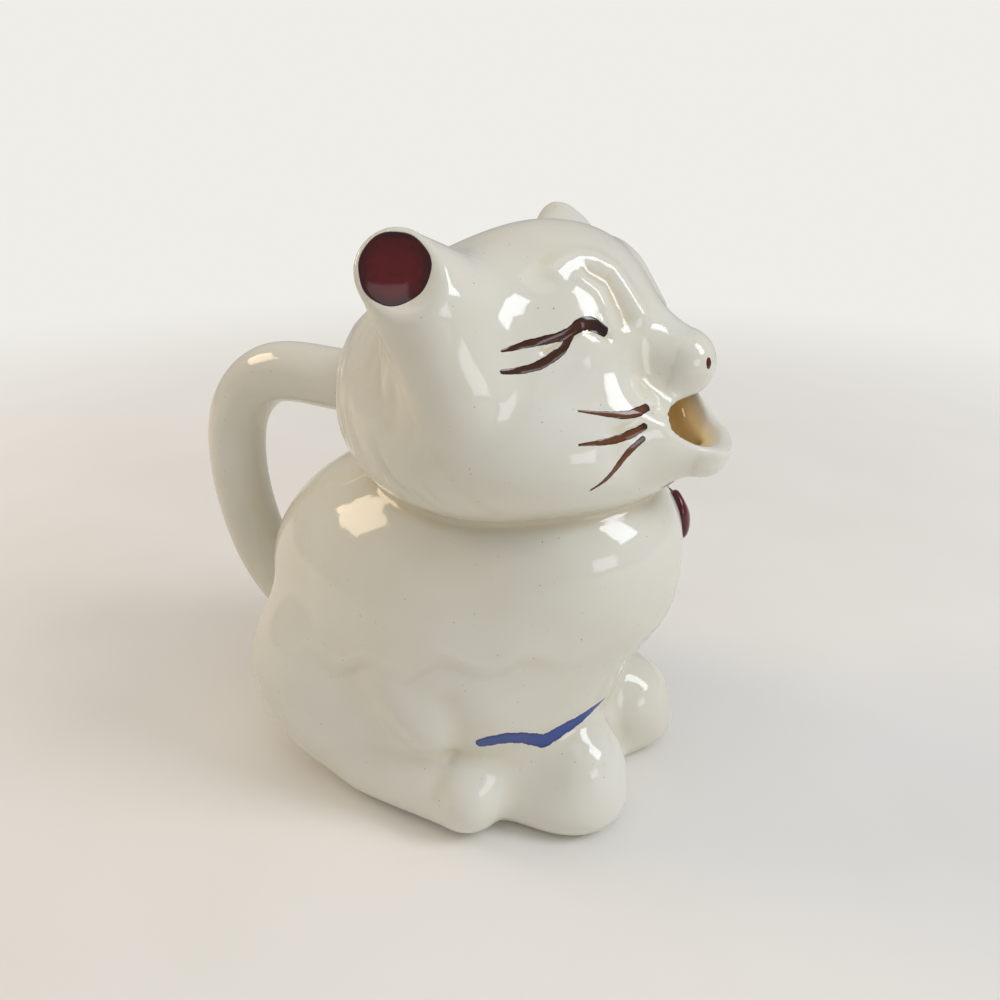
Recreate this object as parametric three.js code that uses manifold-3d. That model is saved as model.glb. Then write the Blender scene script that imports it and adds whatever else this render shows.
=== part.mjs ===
// A pottery creamer in the shape of a seated cat: a hollow glazed casting that pours from the mouth,
// is filled through the back of the head and is lifted by a round handle at the back.
// Millimetres. The cat faces -Y, its left side is +X, and it stands on z = 0.
import * as THREE from 'three';
import { mergeVertices } from 'three/addons/utils/BufferGeometryUtils.js';
import Module from 'manifold-3d';

// Walls and clearances
const WALL = 4;
const FLOOR = 4.5;
const SEAT_GAP = 0.3;
const ENAMEL = 0.6;

// Body
const NECK_HEIGHT = 72;
const NECK_BLEND = 2;
const BODY_BLEND = 8;
const LIMB_BLEND = 5;
const HAUNCH_SPREAD = 20;
const HIND_PAW_SPREAD = 27;
const HIND_PAW_RADIUS = 9;
const HIND_PAW_REACH = 22;
const BOOT_SPREAD = 12.9;
const BOOT_SHIFT = 0.9;
const BOOT_RADIUS = 11;
const BOOT_REACH = 41.8;
const BOOT_STAGGER = 1.4;

// Head
const HEAD_BLEND = 8;
const NOSE_RADIUS = 6.2;
const NOSE_REACH = 51.5;
const LIP_RADIUS = 4.6;
const LIP_REACH = 57.2;
const EAR_BLEND = 6.5;
const EAR_SPREAD = 35.4;
const EAR_RISE = 41.7;
const EAR_RADIUS = 6.3;
const EAR_CUP_RADIUS = 16;
const EAR_CUP_DEPTH = 1;
const EAR_RIM = 1.1;

// Bow
const BOW_SIDE = 17;
const BOW_DROP = 10;
const BOW_PROUD = 2.2;
const BOW_LOOP_WIDTH = 9.2;
const BOW_LOOP_HEIGHT = 11.4;
const BOW_LOOP_SPREAD = 5.6;

// Openings
const MOUTH_STRETCH = 1.38;
const MOUTH_RADIUS = 6.9;
const MOUTH_TIP_RADIUS = 5.2;
const MOUTH_ROOF = 18.2;
const FILL_WIDTH = 31;
const FILL_LENGTH = 21;
const FILL_DEPTH = 28;
const FILL_BACK = 1.8;
const FILL_RISE = 34;
const FILL_TILT = 24;

// Handle
const HANDLE_DIAMETER = 13.4;
const HANDLE_REACH = 62;
const HANDLE_TOP_RISE = 10;
const HANDLE_FOOT_HEIGHT = 20;

// Nostrils
const NOSTRIL_SPREAD = 2.8;
const NOSTRIL_WIDTH = 1.6;
const NOSTRIL_HEIGHT = 2.2;

// Fineness of the meshes: columns and rows of the skins, subdivisions of the balls
const BODY_GRID = [60, 24];
const HEAD_GRID = [66, 29];
const HOLLOW_GRID = [30, 11];
const FRONT_PULL = 0.35;
const MOUTH_DETAIL = 5;
const BOW_DETAIL = 4;
const HANDLE_STEPS = 26;
const HANDLE_SIDES = 14;
const STROKE_STEPS = 7;
const OVERRUN = 1;
const FAR = 300;

const wasm = await Module();
wasm.setup();

// Points

const at = (x, y, z) => new THREE.Vector3(x, y, z);
const onHead = (x, y, rise) => at(x, y, NECK_HEIGHT + rise);

// Lumps of clay. Each is a function of a point: negative inside, zero on the skin, and
// close to the distance in millimetres near it.

function egg(centre, half, axes) {
  const toLocal = axes ? axes.clone().transpose() : null;
  return (point) => {
    const offset = point.clone().sub(centre);
    if (toLocal) offset.applyMatrix4(toLocal);
    offset.divide(half);
    const scaled = offset.length();
    const slope = offset.divide(half).length();
    return (scaled * (scaled - 1)) / Math.max(slope, 1e-9);
  };
}

function limb(start, end, startRadius, endRadius, stretch = 1) {
  const line = new THREE.Line3(start, end);
  const nearest = new THREE.Vector3();
  return (point) => {
    const squeezed = at(point.x / stretch, point.y, point.z);
    const along = line.closestPointToPointParameter(squeezed, true);
    const radius = THREE.MathUtils.lerp(startRadius, endRadius, along);
    return squeezed.distanceTo(line.at(along, nearest)) - radius;
  };
}

// The union of two lumps with a soft valley of the given size between them.
function blend(a, b, softness) {
  const share = THREE.MathUtils.clamp(0.5 + (0.5 * (b - a)) / softness, 0, 1);
  return THREE.MathUtils.lerp(b, a, share) - softness * share * (1 - share);
}

function heap(layers) {
  return (point) => layers.reduce((sum, [lump, softness]) => blend(sum, lump(point), softness), FAR);
}

// Axes of a patch that faces along a direction: x out of it, y along its width, z up.
function facing(direction) {
  const out = direction.clone().normalize();
  const up = at(0, 0, 1).addScaledVector(out, -out.z).normalize();
  const across = up.clone().cross(out);
  return new THREE.Matrix4().makeBasis(out, across, up);
}

// A point on a forepaw: outwards from the middle of its toe, backwards from it, and its height.
// The right paw stands a little behind the left one, and both a little to the cat's right.
const onBoot = (side, out, back, z) =>
  at(side * (BOOT_SPREAD + out) - BOOT_SHIFT, back - BOOT_REACH - side * BOOT_STAGGER, z);

function bodyClay() {
  const layers = [
    [egg(at(0, -8, 33), at(36, 38, 36)), BODY_BLEND],
    [egg(onHead(0, -14, -22), at(32, 41.2, 26)), BODY_BLEND],
    [egg(onHead(0, 6, -30), at(28, 32.5, 26)), BODY_BLEND],
    [egg(onHead(0, -31, -11), at(24, 22.5, 14)), BODY_BLEND],
    [egg(at(0, -2, 10), at(35, 38, 15)), BODY_BLEND],
  ];
  for (const side of [-1, 1]) {
    const haunch = egg(at(side * HAUNCH_SPREAD, 12, 24), at(17.5, 22, 23));
    const pawHeel = at(side * (HIND_PAW_SPREAD - 3), 0, HIND_PAW_RADIUS - 0.5);
    const pawToe = at(side * HIND_PAW_SPREAD, -HIND_PAW_REACH, HIND_PAW_RADIUS - 0.5);
    const shin = onBoot(side, 2.2, 15.8, BOOT_RADIUS + 1.5);
    const toe = onBoot(side, 0, 0, BOOT_RADIUS - 0.2);
    const sole = egg(onBoot(side, 1.5, 3.4, 5.3), at(11.2, 15, 7.6));
    layers.push([haunch, LIMB_BLEND]);
    layers.push([limb(pawHeel, pawToe, HIND_PAW_RADIUS + 1, HIND_PAW_RADIUS), LIMB_BLEND]);
    layers.push([limb(shin, toe, BOOT_RADIUS, BOOT_RADIUS), LIMB_BLEND]);
    layers.push([sole, LIMB_BLEND]);
  }
  const footPad = egg(at(0, -21, 3), at(24, 26, 6));
  const web = limb(at(-9, -34, 10.5), at(9, -36, 10.5), 9, 9);
  layers.push([footPad, LIMB_BLEND]);
  layers.push([web, LIMB_BLEND - 1]);
  return heap(layers);
}

const earCentre = (side) => onHead(side * EAR_SPREAD, -16.6, EAR_RISE);
const earFacing = (side) => at(side * 0.86, -0.28, 0.42).normalize();
const onEar = (side, out) => earCentre(side).addScaledVector(earFacing(side), out);

function headClay() {
  const layers = [
    [egg(onHead(0, -16.5, 17), at(33, 28, 25)), HEAD_BLEND],
    [egg(onHead(0, -8, 14), at(24, 21.5, 19)), HEAD_BLEND],
    [egg(onHead(0, -22, 10.5), at(34, 32.5, 16.5)), HEAD_BLEND],
    [egg(onHead(0, -36, 9.5), at(17, 19.5, 11.5)), HEAD_BLEND],
    [egg(onHead(0, -27.5, 30), at(20, 18, 16)), HEAD_BLEND],
  ];
  const nose = limb(onHead(0, -38, 26), onHead(0, -NOSE_REACH, 23.5), NOSE_RADIUS + 3.8, NOSE_RADIUS);
  const jaw = limb(onHead(0, -45, 10), onHead(0, -LIP_REACH, 7.6), LIP_RADIUS + 3.9, LIP_RADIUS, 1.6);
  layers.push([nose, LIMB_BLEND]);
  layers.push([jaw, LIMB_BLEND]);
  const hollows = [];
  for (const side of [-1, 1]) {
    const root = onHead(side * (EAR_SPREAD - 17.4), -20, EAR_RISE - 13.7);
    const cheek = onHead(side * (EAR_SPREAD - 6.4), -22, EAR_RISE - 18.7);
    const lobe = onHead(side * (EAR_SPREAD - 4.4), -19, EAR_RISE - 8.7);
    layers.push([limb(root, onEar(side, -EAR_CUP_DEPTH), 13, EAR_RADIUS), EAR_BLEND]);
    layers.push([limb(cheek, lobe, 7, 6), EAR_BLEND]);
    const cupHalf = at(EAR_CUP_RADIUS, EAR_CUP_RADIUS, EAR_CUP_RADIUS);
    hollows.push(egg(onEar(side, EAR_CUP_RADIUS - EAR_CUP_DEPTH), cupHalf));
  }
  const clay = heap(layers);
  return (point) => hollows.reduce((value, cup) => -blend(-value, cup(point), 1.6), clay(point));
}

const body = bodyClay();
const head = headClay();
const cat = (point) => blend(body(point), head(point), NECK_BLEND);

// Meshes and solids

// How far a shape reaches from a point inside it, along a direction.
function reachOf(shape, start, direction) {
  const stride = 2;
  const probe = (reach) => shape(start.clone().addScaledVector(direction, reach));
  let outside = stride;
  while (probe(outside) < 0 && outside < FAR) outside += stride;
  let inside = outside - stride;
  for (let halving = 0; halving < 16; halving += 1) {
    const middle = (inside + outside) / 2;
    if (probe(middle) < 0) inside = middle;
    else outside = middle;
  }
  return outside;
}

// A ball of points pushed out from a centre until each one meets the surface of a shape.
function inflate(shape, centre, detail) {
  const ball = new THREE.IcosahedronGeometry(1, detail);
  const places = ball.getAttribute('position');
  for (let i = 0; i < places.count; i += 1) {
    const direction = new THREE.Vector3().fromBufferAttribute(places, i).normalize();
    const place = centre.clone().addScaledVector(direction, reachOf(shape, centre, direction));
    places.setXYZ(i, place.x, place.y, place.z);
  }
  return ball;
}

// A skin round a shape between two level planes, or up to its top. Its columns stand round the
// upright line through the centre, closest together at the front. Its rows fan out from the
// centre, and the first and the last row run round the rims on the two planes.
function wrap(shape, centre, columns, rows, low, high = null) {
  const rings = rows + 1;
  const outline = [new THREE.Vector2(0, 0)];
  for (let ring = 0; ring < rings; ring += 1) outline.push(new THREE.Vector2(1, ring));
  outline.push(new THREE.Vector2(0, rings));
  const skin = new THREE.LatheGeometry(outline, columns);
  const places = skin.getAttribute('position');
  const top = high ?? centre.z + reachOf(shape, centre, at(0, 0, 1));
  const tilt = (level, turn) => {
    const reach = reachOf(shape, at(centre.x, centre.y, level), at(-Math.sin(turn), Math.cos(turn), 0));
    return Math.atan2(level - centre.z, reach);
  };
  for (let column = 0; column <= columns; column += 1) {
    const share = (2 * Math.PI * (column % columns)) / columns;
    const turn = share + FRONT_PULL * Math.sin(share);
    const lowTilt = tilt(low, turn);
    const highTilt = high === null ? (Math.PI / 2) * (1 - 1 / (2 * rings)) : tilt(high, turn);
    const first = column * outline.length;
    places.setXYZ(first, centre.x, centre.y, low);
    for (let ring = 0; ring < rings; ring += 1) {
      const angle = THREE.MathUtils.lerp(lowTilt, highTilt, ring / rows);
      const flat = Math.cos(angle);
      const direction = at(-flat * Math.sin(turn), flat * Math.cos(turn), Math.sin(angle));
      const place = centre.clone().addScaledVector(direction, reachOf(shape, centre, direction));
      place.z = ring === 0 ? low : Math.max(place.z, low);
      if (ring === rows && high !== null) place.z = high;
      places.setXYZ(first + ring + 1, place.x, place.y, place.z);
    }
    places.setXYZ(first + rings + 1, centre.x, centre.y, top);
  }
  return skin;
}

function toSolid(geometry) {
  const bare = geometry.clone();
  bare.deleteAttribute('normal');
  bare.deleteAttribute('uv');
  const merged = mergeVertices(bare, 1e-5);
  const vertProperties = Float32Array.from(merged.getAttribute('position').array);
  const triVerts = Uint32Array.from(merged.getIndex().array);
  return new wasm.Manifold(new wasm.Mesh({ numProp: 3, vertProperties, triVerts }));
}

function toGeometry(solid) {
  const mesh = solid.getMesh();
  const geometry = new THREE.BufferGeometry();
  geometry.setAttribute('position', new THREE.BufferAttribute(mesh.vertProperties, 3));
  geometry.setIndex(new THREE.BufferAttribute(mesh.triVerts, 1));
  geometry.computeVertexNormals();
  return geometry;
}

const group = new THREE.Group();

function add(name, geometry, finish) {
  const mesh = new THREE.Mesh(geometry, new THREE.MeshStandardMaterial(finish));
  mesh.name = name;
  group.add(mesh);
}

const IVORY_GLAZE = { color: 0xe6e0cc, roughness: 0.12, metalness: 0 };
const MAROON_ENAMEL = { color: 0x5e0d14, roughness: 0.18, metalness: 0 };
const BROWN_ENAMEL = { color: 0x4a2411, roughness: 0.2, metalness: 0 };
const BLUE_ENAMEL = { color: 0x2c3f86, roughness: 0.18, metalness: 0 };

// Body and head. They meet face to face on a level plane in the groove at the neck.

const bodyCentre = at(0, -14, 26);
const headCentre = onHead(0, -25, 16);
const atLevel = (level) => (point) => cat(point) - level;

function bodyHollow() {
  const skin = wrap(atLevel(-WALL), bodyCentre, ...HOLLOW_GRID, FLOOR, NECK_HEIGHT + OVERRUN);
  return toSolid(skin);
}

function headHollow() {
  const skin = wrap(atLevel(-WALL), headCentre, ...HOLLOW_GRID, NECK_HEIGHT - OVERRUN);
  return toSolid(skin);
}

const bodySolid = (level) => toSolid(wrap(atLevel(level), bodyCentre, ...BODY_GRID, 0, NECK_HEIGHT));
const headSolid = (level) => toSolid(wrap(atLevel(level), headCentre, ...HEAD_GRID, NECK_HEIGHT));

// The pouring way: a trough under a flat roof, wide at the corners of the mouth and narrow at the
// lip, then out and up.
function mouthWay() {
  const corner = onHead(0, -51, 16.4);
  const throat = limb(onHead(0, -38, 12), corner, MOUTH_RADIUS + 1.1, MOUTH_RADIUS, MOUTH_STRETCH);
  const tip = onHead(0, -LIP_REACH - 2.8, 15.8);
  const beak = limb(corner, tip, MOUTH_RADIUS, MOUTH_TIP_RADIUS, MOUTH_STRETCH);
  const leave = onHead(0, -LIP_REACH - 10.8, 22);
  const clear = limb(onHead(0, 0.2 - LIP_REACH, 16), leave, MOUTH_TIP_RADIUS, 8, MOUTH_STRETCH);
  const trough = heap([[throat, 1], [beak, 1], [clear, 1]]);
  const roof = (point) => NECK_HEIGHT + MOUTH_ROOF - point.z;
  const way = (point) => -blend(-trough(point), roof(point), 1);
  return toSolid(inflate(way, onHead(0, -54, 14.6), MOUTH_DETAIL));
}

// The filling mouth: an oval shaft that leans back, behind the ears.
function fillingWay() {
  const shaft = new THREE.CylinderGeometry(FILL_WIDTH / 2, FILL_WIDTH / 2, FILL_DEPTH, 36);
  shaft.rotateX(Math.PI / 2);
  shaft.scale(1, FILL_LENGTH / FILL_WIDTH, 1);
  shaft.rotateX(THREE.MathUtils.degToRad(-FILL_TILT));
  const middle = onHead(0, FILL_BACK, FILL_RISE);
  shaft.translate(middle.x, middle.y, middle.z);
  return toSolid(shaft);
}

const torsoShell = bodySolid(0).subtract(bodyHollow());
const headShell = headSolid(0).subtract(headHollow()).subtract(mouthWay()).subtract(fillingWay());
add('torso_shell', toGeometry(torsoShell), IVORY_GLAZE);
add('head_shell', toGeometry(headShell), IVORY_GLAZE);

// Handle and bow. Both seat on the skin, a seat gap clear of it.

const bodySeat = bodySolid(SEAT_GAP);
const headSeat = headSolid(SEAT_GAP);
const offSkin = (solid) => toGeometry(solid.subtract(bodySeat).subtract(headSeat));

function handleRod() {
  const path = new THREE.CatmullRomCurve3([
    onHead(0, 8, HANDLE_TOP_RISE),
    onHead(0, 22, HANDLE_TOP_RISE + 1.6),
    onHead(0, HANDLE_REACH - 21, HANDLE_TOP_RISE + 0.6),
    onHead(0, HANDLE_REACH - 10.4, HANDLE_TOP_RISE - 9),
    at(0, HANDLE_REACH - 7, (NECK_HEIGHT + HANDLE_FOOT_HEIGHT) / 2 + 9),
    at(0, HANDLE_REACH - 12, HANDLE_FOOT_HEIGHT + 14),
    at(0, HANDLE_REACH - 22, HANDLE_FOOT_HEIGHT + 3),
    at(0, HANDLE_REACH - 31, HANDLE_FOOT_HEIGHT),
  ]);
  const section = new THREE.Shape();
  section.absarc(0, 0, HANDLE_DIAMETER / 2, 0, 2 * Math.PI);
  const options = { steps: HANDLE_STEPS, extrudePath: path, curveSegments: HANDLE_SIDES / 2 };
  return toSolid(new THREE.ExtrudeGeometry(section, options));
}

add('handle', offSkin(handleRod()), IVORY_GLAZE);

// Moves a point onto a skin at a height above the clay, along the slope of the clay.
function settle(point, height) {
  const step = 0.05;
  const place = point.clone();
  const slope = new THREE.Vector3();
  for (let round = 0; round < 6; round += 1) {
    slopeAt(place, slope, step);
    place.addScaledVector(slope, (height - cat(place)) / slope.lengthSq());
  }
  return place;
}

function slopeAt(place, slope, step) {
  for (const axis of ['x', 'y', 'z']) {
    const ahead = place.clone();
    const behind = place.clone();
    ahead[axis] += step;
    behind[axis] -= step;
    slope[axis] = (cat(ahead) - cat(behind)) / (2 * step);
  }
  return slope;
}

// The bow: two puffed loops and a knot on the chest, to the left of the cat's chin.
function bowKnot() {
  const knot = settle(onHead(BOW_SIDE, -50, -BOW_DROP), 0);
  const out = slopeAt(knot, new THREE.Vector3(), 0.5).normalize();
  const across = new THREE.Vector3().setFromMatrixColumn(facing(out), 1);
  const layers = [[egg(knot, at(BOW_PROUD + 0.4, 2.2, 2.6), facing(out)), 0.8]];
  for (const side of [-1, 1]) {
    const middle = settle(knot.clone().addScaledVector(across, side * BOW_LOOP_SPREAD), 0);
    const lift = slopeAt(middle, new THREE.Vector3(), 0.5).normalize();
    layers.push([egg(middle, at(BOW_PROUD, BOW_LOOP_WIDTH / 2, BOW_LOOP_HEIGHT / 2), facing(lift)), 0.8]);
  }
  return toSolid(inflate(heap(layers), knot, BOW_DETAIL));
}

add('neck_bow', offSkin(bowKnot()), MAROON_ENAMEL);

// Enamel. Each stroke is a thin closed ribbon that follows the skin, cut free of it from below.

function ribbon(points, widths) {
  const path = new THREE.CatmullRomCurve3(points.map((point) => settle(point, 0)));
  const swell = new THREE.CatmullRomCurve3(widths.map((width) => at(width, 0, 0)));
  const strip = new THREE.BoxGeometry(1, 1, 1, STROKE_STEPS, 1, 1);
  const places = strip.getAttribute('position');
  for (let i = 0; i < places.count; i += 1) {
    const along = places.getX(i) + 0.5;
    const middle = settle(path.getPoint(along), 0);
    const out = slopeAt(middle, new THREE.Vector3(), 0.05).normalize();
    const across = out.clone().cross(path.getTangent(along)).normalize();
    const shift = places.getY(i) * swell.getPoint(along).x;
    const height = (places.getZ(i) + 0.5) * (SEAT_GAP + ENAMEL);
    const place = settle(middle.addScaledVector(across, shift), height);
    places.setXYZ(i, place.x, place.y, place.z);
  }
  return toSolid(strip);
}

// A round or oval patch of enamel about a point, in rings so that it follows the skin.
function patch(centre, axes, halfWidth, halfHeight, sides) {
  const profile = [[0, 0], [0.55, 0], [1, 0], [1, 1], [0.55, 1], [0, 1]];
  const outline = profile.map(([reach, height]) => new THREE.Vector2(reach, height));
  const disc = new THREE.LatheGeometry(outline, sides);
  const places = disc.getAttribute('position');
  const across = new THREE.Vector3().setFromMatrixColumn(axes, 1);
  const up = new THREE.Vector3().setFromMatrixColumn(axes, 2);
  for (let i = 0; i < places.count; i += 1) {
    const spot = settle(centre, 0);
    spot.addScaledVector(across, places.getX(i) * halfWidth);
    spot.addScaledVector(up, -places.getZ(i) * halfHeight);
    const place = settle(spot, places.getY(i) * (SEAT_GAP + ENAMEL));
    places.setXYZ(i, place.x, place.y, place.z);
  }
  return toSolid(disc);
}

// Strokes of the right side of the face and the right boot; the left side mirrors them.
const EYE_LINE = [
  [-13.7, -42.4, 30.3], [-15.3, -40.6, 31.8], [-17.3, -38.7, 32],
  [-19.7, -36.8, 30.7], [-23.6, -32.3, 29.7], [-26.7, -29.5, 29.1],
];
const EYE_WIDTHS = [1.2, 2, 2, 1.6, 1.2, 0.5];
const LASH_LINE = [
  [-19.2, -37.5, 30.2], [-21.4, -36.3, 28], [-23.6, -34.4, 26.6], [-27.4, -29.8, 26.1],
];
const LASH_WIDTHS = [1.2, 1.7, 1.5, 0.5];
const WHISKER_LINES = {
  upper: [[-12.1, -49.3, 18.4], [-16.4, -46.9, 18.1], [-18.6, -45, 18.5], [-22.5, -40.8, 19.8]],
  middle: [[-14.3, -49.9, 16.2], [-17.3, -48.5, 15.4], [-20.2, -46.6, 15.1], [-25.2, -42.1, 15.2]],
  lower: [[-15.6, -50.2, 14.6], [-18.5, -49, 12.8], [-21, -47.6, 10.5], [-24.1, -44.1, 7.3]],
};
const WHISKER_WIDTHS = [1.1, 1.6, 1.2, 0.5];
const BOOT_LINE = [
  [16.9, 14.1, 24.7], [13.3, 8, 25.2], [8.7, 3.4, 22.4], [3.4, -0.8, 23.8], [-3.6, -3.6, 23.6],
];
const BOOT_WIDTHS = [1.8, 2.6, 2.6, 2, 1.2];

const faceStroke = (line, side) => line.map(([x, y, rise]) => onHead(-side * x, y, rise));

for (const [side, hand] of [[1, 'left'], [-1, 'right']]) {
  const liningReach = EAR_RADIUS - EAR_RIM;
  const ear = patch(earCentre(side), facing(earFacing(side)), liningReach, liningReach, 20);
  add(`ear_patch_${hand}`, offSkin(ear), MAROON_ENAMEL);

  const lid = ribbon(faceStroke(EYE_LINE, side), EYE_WIDTHS);
  const lash = ribbon(faceStroke(LASH_LINE, side), LASH_WIDTHS);
  add(`eye_stroke_${hand}`, offSkin(lid.add(lash)), BROWN_ENAMEL);

  for (const [row, line] of Object.entries(WHISKER_LINES)) {
    const whisker = ribbon(faceStroke(line, side), WHISKER_WIDTHS);
    add(`whisker_${row}_${hand}`, offSkin(whisker), BROWN_ENAMEL);
  }

  const nostrilSpot = onHead(side * NOSTRIL_SPREAD, -NOSE_REACH - 5.4, 24.6);
  const nostrilFacing = facing(at(side * 0.4, -1, 0));
  const nostril = patch(nostrilSpot, nostrilFacing, NOSTRIL_WIDTH / 2, NOSTRIL_HEIGHT / 2, 10);
  add(`nostril_${hand}`, offSkin(nostril), MAROON_ENAMEL);

  const boot = ribbon(BOOT_LINE.map(([out, back, z]) => onBoot(side, out, back, z)), BOOT_WIDTHS);
  add(`boot_line_${hand}`, offSkin(boot), BLUE_ENAMEL);
}

export default group;
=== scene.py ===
"""A glazed pottery creamer in the shape of a seated cat.

The cat is sculpted as one field of clay lumps, the same lumps that the solids are made from. The
casting is skinned in two pieces that meet in the groove of the neck, and the enamel is laid on
that skin as thin films. Lengths are millimetres until a mesh is made, which is in metres.
"""
import logging
import math
from dataclasses import dataclass, field
from enum import Enum
from typing import Callable, Iterable, Sequence

import bpy
import numpy as np
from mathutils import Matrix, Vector


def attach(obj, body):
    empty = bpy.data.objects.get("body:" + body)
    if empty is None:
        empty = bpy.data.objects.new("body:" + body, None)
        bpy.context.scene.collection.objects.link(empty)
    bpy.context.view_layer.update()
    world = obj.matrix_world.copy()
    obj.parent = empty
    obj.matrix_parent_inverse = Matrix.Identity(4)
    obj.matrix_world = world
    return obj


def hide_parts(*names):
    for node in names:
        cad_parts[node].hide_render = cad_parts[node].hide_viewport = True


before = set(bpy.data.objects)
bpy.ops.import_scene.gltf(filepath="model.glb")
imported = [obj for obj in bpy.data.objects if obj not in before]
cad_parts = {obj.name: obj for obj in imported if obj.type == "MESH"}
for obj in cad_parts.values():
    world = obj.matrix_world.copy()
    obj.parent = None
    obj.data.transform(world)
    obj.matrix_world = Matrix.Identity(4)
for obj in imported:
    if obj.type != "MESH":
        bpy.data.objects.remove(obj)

LOG = logging.getLogger("cat_creamer")
# A millimetre in metres, and a distance in millimetres that is further than any of the cat.
MM = 0.001
FAR = 300.0

Array = np.ndarray
Lump = Callable[[Array], Array]
Point = tuple[float, float, float]
Line = tuple[Point, ...]
Socket = bpy.types.NodeSocket

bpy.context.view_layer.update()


# Clay: every lump is a function of points that is negative inside, zero on the skin and close to
# the distance in millimetres near it.


def blend(a: Array, b: Array, softness: float) -> Array:
    """Join two lumps with a soft valley between them.

    Args:
        a: Values of the first lump.
        b: Values of the second lump.
        softness: Width of the valley in millimetres.

    Returns:
        The lesser of the two values, less a parabola where they are within the softness.
    """
    share = np.clip(0.5 + 0.5 * (b - a) / softness, 0.0, 1.0)
    return b + (a - b) * share - softness * share * (1.0 - share)


def overlap(a: Array, b: Array, softness: float) -> Array:
    """Keep what lies in both lumps, with the edge between them rounded by the softness."""
    return -blend(-a, -b, softness)


def carve(a: Array, tool: Array, softness: float) -> Array:
    """Take a tool's shape out of a lump, with the edge rounded by the softness."""
    return overlap(a, -tool, softness)


def bump(distance: Array, reach: float) -> Array:
    """A smooth hump: 1 at no distance, falling as a bell to nothing at about twice the reach."""
    return np.exp(-((distance / reach) ** 2))


def step(value: Array, width: float) -> Array:
    """A smooth stair: 0 well below zero, 1 well above it, over the given width."""
    share = np.clip(0.5 + value / width, 0.0, 1.0)
    return share * share * (3.0 - 2.0 * share)


def from_span(points: Array, start: Sequence[float], end: Sequence[float]) -> tuple[Array, Array]:
    """Distance of points to the nearest spot of a straight span, and that spot's share of its way.

    Args:
        points: Where it is read.
        start: Start of the span.
        end: End of the span.

    Returns:
        The distances, and the shares from 0 at the start to 1 at the end.
    """
    way = np.subtract(end, start)
    along = np.clip((points - start) @ way / (way @ way), 0.0, 1.0)
    return np.linalg.norm(points - start - along[:, None] * way, axis=-1), along


def from_line(points: Array, line: Sequence[Point] | Array) -> Array:
    """Distance of points to a line of straight spans.

    Args:
        points: Where it is read.
        line: Ends of the spans, in order.

    Returns:
        The distance of each point.
    """
    nearest = np.full(len(points), FAR)
    for start, end in zip(line[:-1], line[1:]):
        nearest = np.minimum(nearest, from_span(points, start, end)[0])
    return nearest


def ridge(points: Array, line: Line, width: float) -> Array:
    """A smooth ridge: 1 along a line of straight spans, falling as a bell to either side."""
    return bump(from_line(points, line), width)


def dab(points: Array, spot: Point, reach: float, stretch: float = 1.0) -> Array:
    """A smooth round hump: 1 at a spot, falling as a bell about it, and stretched sideways."""
    return bump(np.linalg.norm((points - np.array(spot)) / (stretch, 1.0, 1.0), axis=-1), reach)


def within(points: Array, low: Point, high: Point) -> Array:
    """Which points lie in a box."""
    return ((points > low) & (points < high)).all(axis=1)


def folded(points: Array) -> Array:
    """Points with those of the cat's left side mirrored to its right side, where x is negative.

    Args:
        points: The points of both sides.

    Returns:
        The same points with x made negative.
    """
    right = points.copy()
    right[:, 0] = -np.abs(points[:, 0])
    return right


def facing(direction: Sequence[float]) -> Array:
    """Axes of a patch that faces along a direction.

    Args:
        direction: The way that the patch looks.

    Returns:
        A matrix whose columns point out of the patch, across it and up it.
    """
    out = np.asarray(direction, float)
    out = out / np.linalg.norm(out)
    up = np.array([0.0, 0.0, 1.0]) - out * out[2]
    up = up / np.linalg.norm(up)
    return np.stack([out, np.cross(up, out), up], axis=1)


@dataclass(frozen=True, eq=False)
class Egg:
    """An egg-shaped lump, upright or turned to its own axes."""

    centre: Point
    half: Point
    axes: Array | None = None

    def __call__(self, points: Array) -> Array:
        """Value of the egg: k0 (k0 - 1) / k1, with k0 the scaled radius and k1 its slope.

        Args:
            points: Where it is read.

        Returns:
            The value at each point.
        """
        offset = points - np.asarray(self.centre)
        if self.axes is not None:
            offset = offset @ self.axes
        scaled = offset / np.asarray(self.half)
        radius = np.linalg.norm(scaled, axis=-1)
        slope = np.linalg.norm(scaled / np.asarray(self.half), axis=-1)
        return radius * (radius - 1.0) / np.maximum(slope, 1e-9)


@dataclass(frozen=True, eq=False)
class Limb:
    """A round bar between two points whose radius changes evenly, stretched sideways."""

    start: Point
    end: Point
    start_radius: float
    end_radius: float
    stretch: float = 1.0

    def __call__(self, points: Array) -> Array:
        """Distance to the nearest point of the bar's line, less the bar's radius there.

        Args:
            points: Where it is read.

        Returns:
            The value at each point.
        """
        squeezed = points / np.array([self.stretch, 1.0, 1.0])
        distance, along = from_span(squeezed, np.asarray(self.start, float), self.end)
        return distance - (self.start_radius + (self.end_radius - self.start_radius) * along)


def heap(layers: Iterable[tuple[Lump, float]]) -> Lump:
    """Pile lumps up, each blended onto the ones before it with its own softness.

    Args:
        layers: The lumps, each with its softness in millimetres.

    Returns:
        The pile as one lump.
    """
    layers = list(layers)

    def value(points: Array) -> Array:
        """Value of the whole pile.

        Args:
            points: Where it is read.

        Returns:
            The value at each point.
        """
        total = np.full(len(points), FAR)
        for lump, softness in layers:
            total = blend(total, lump(points), softness)
        return total

    return value


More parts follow.
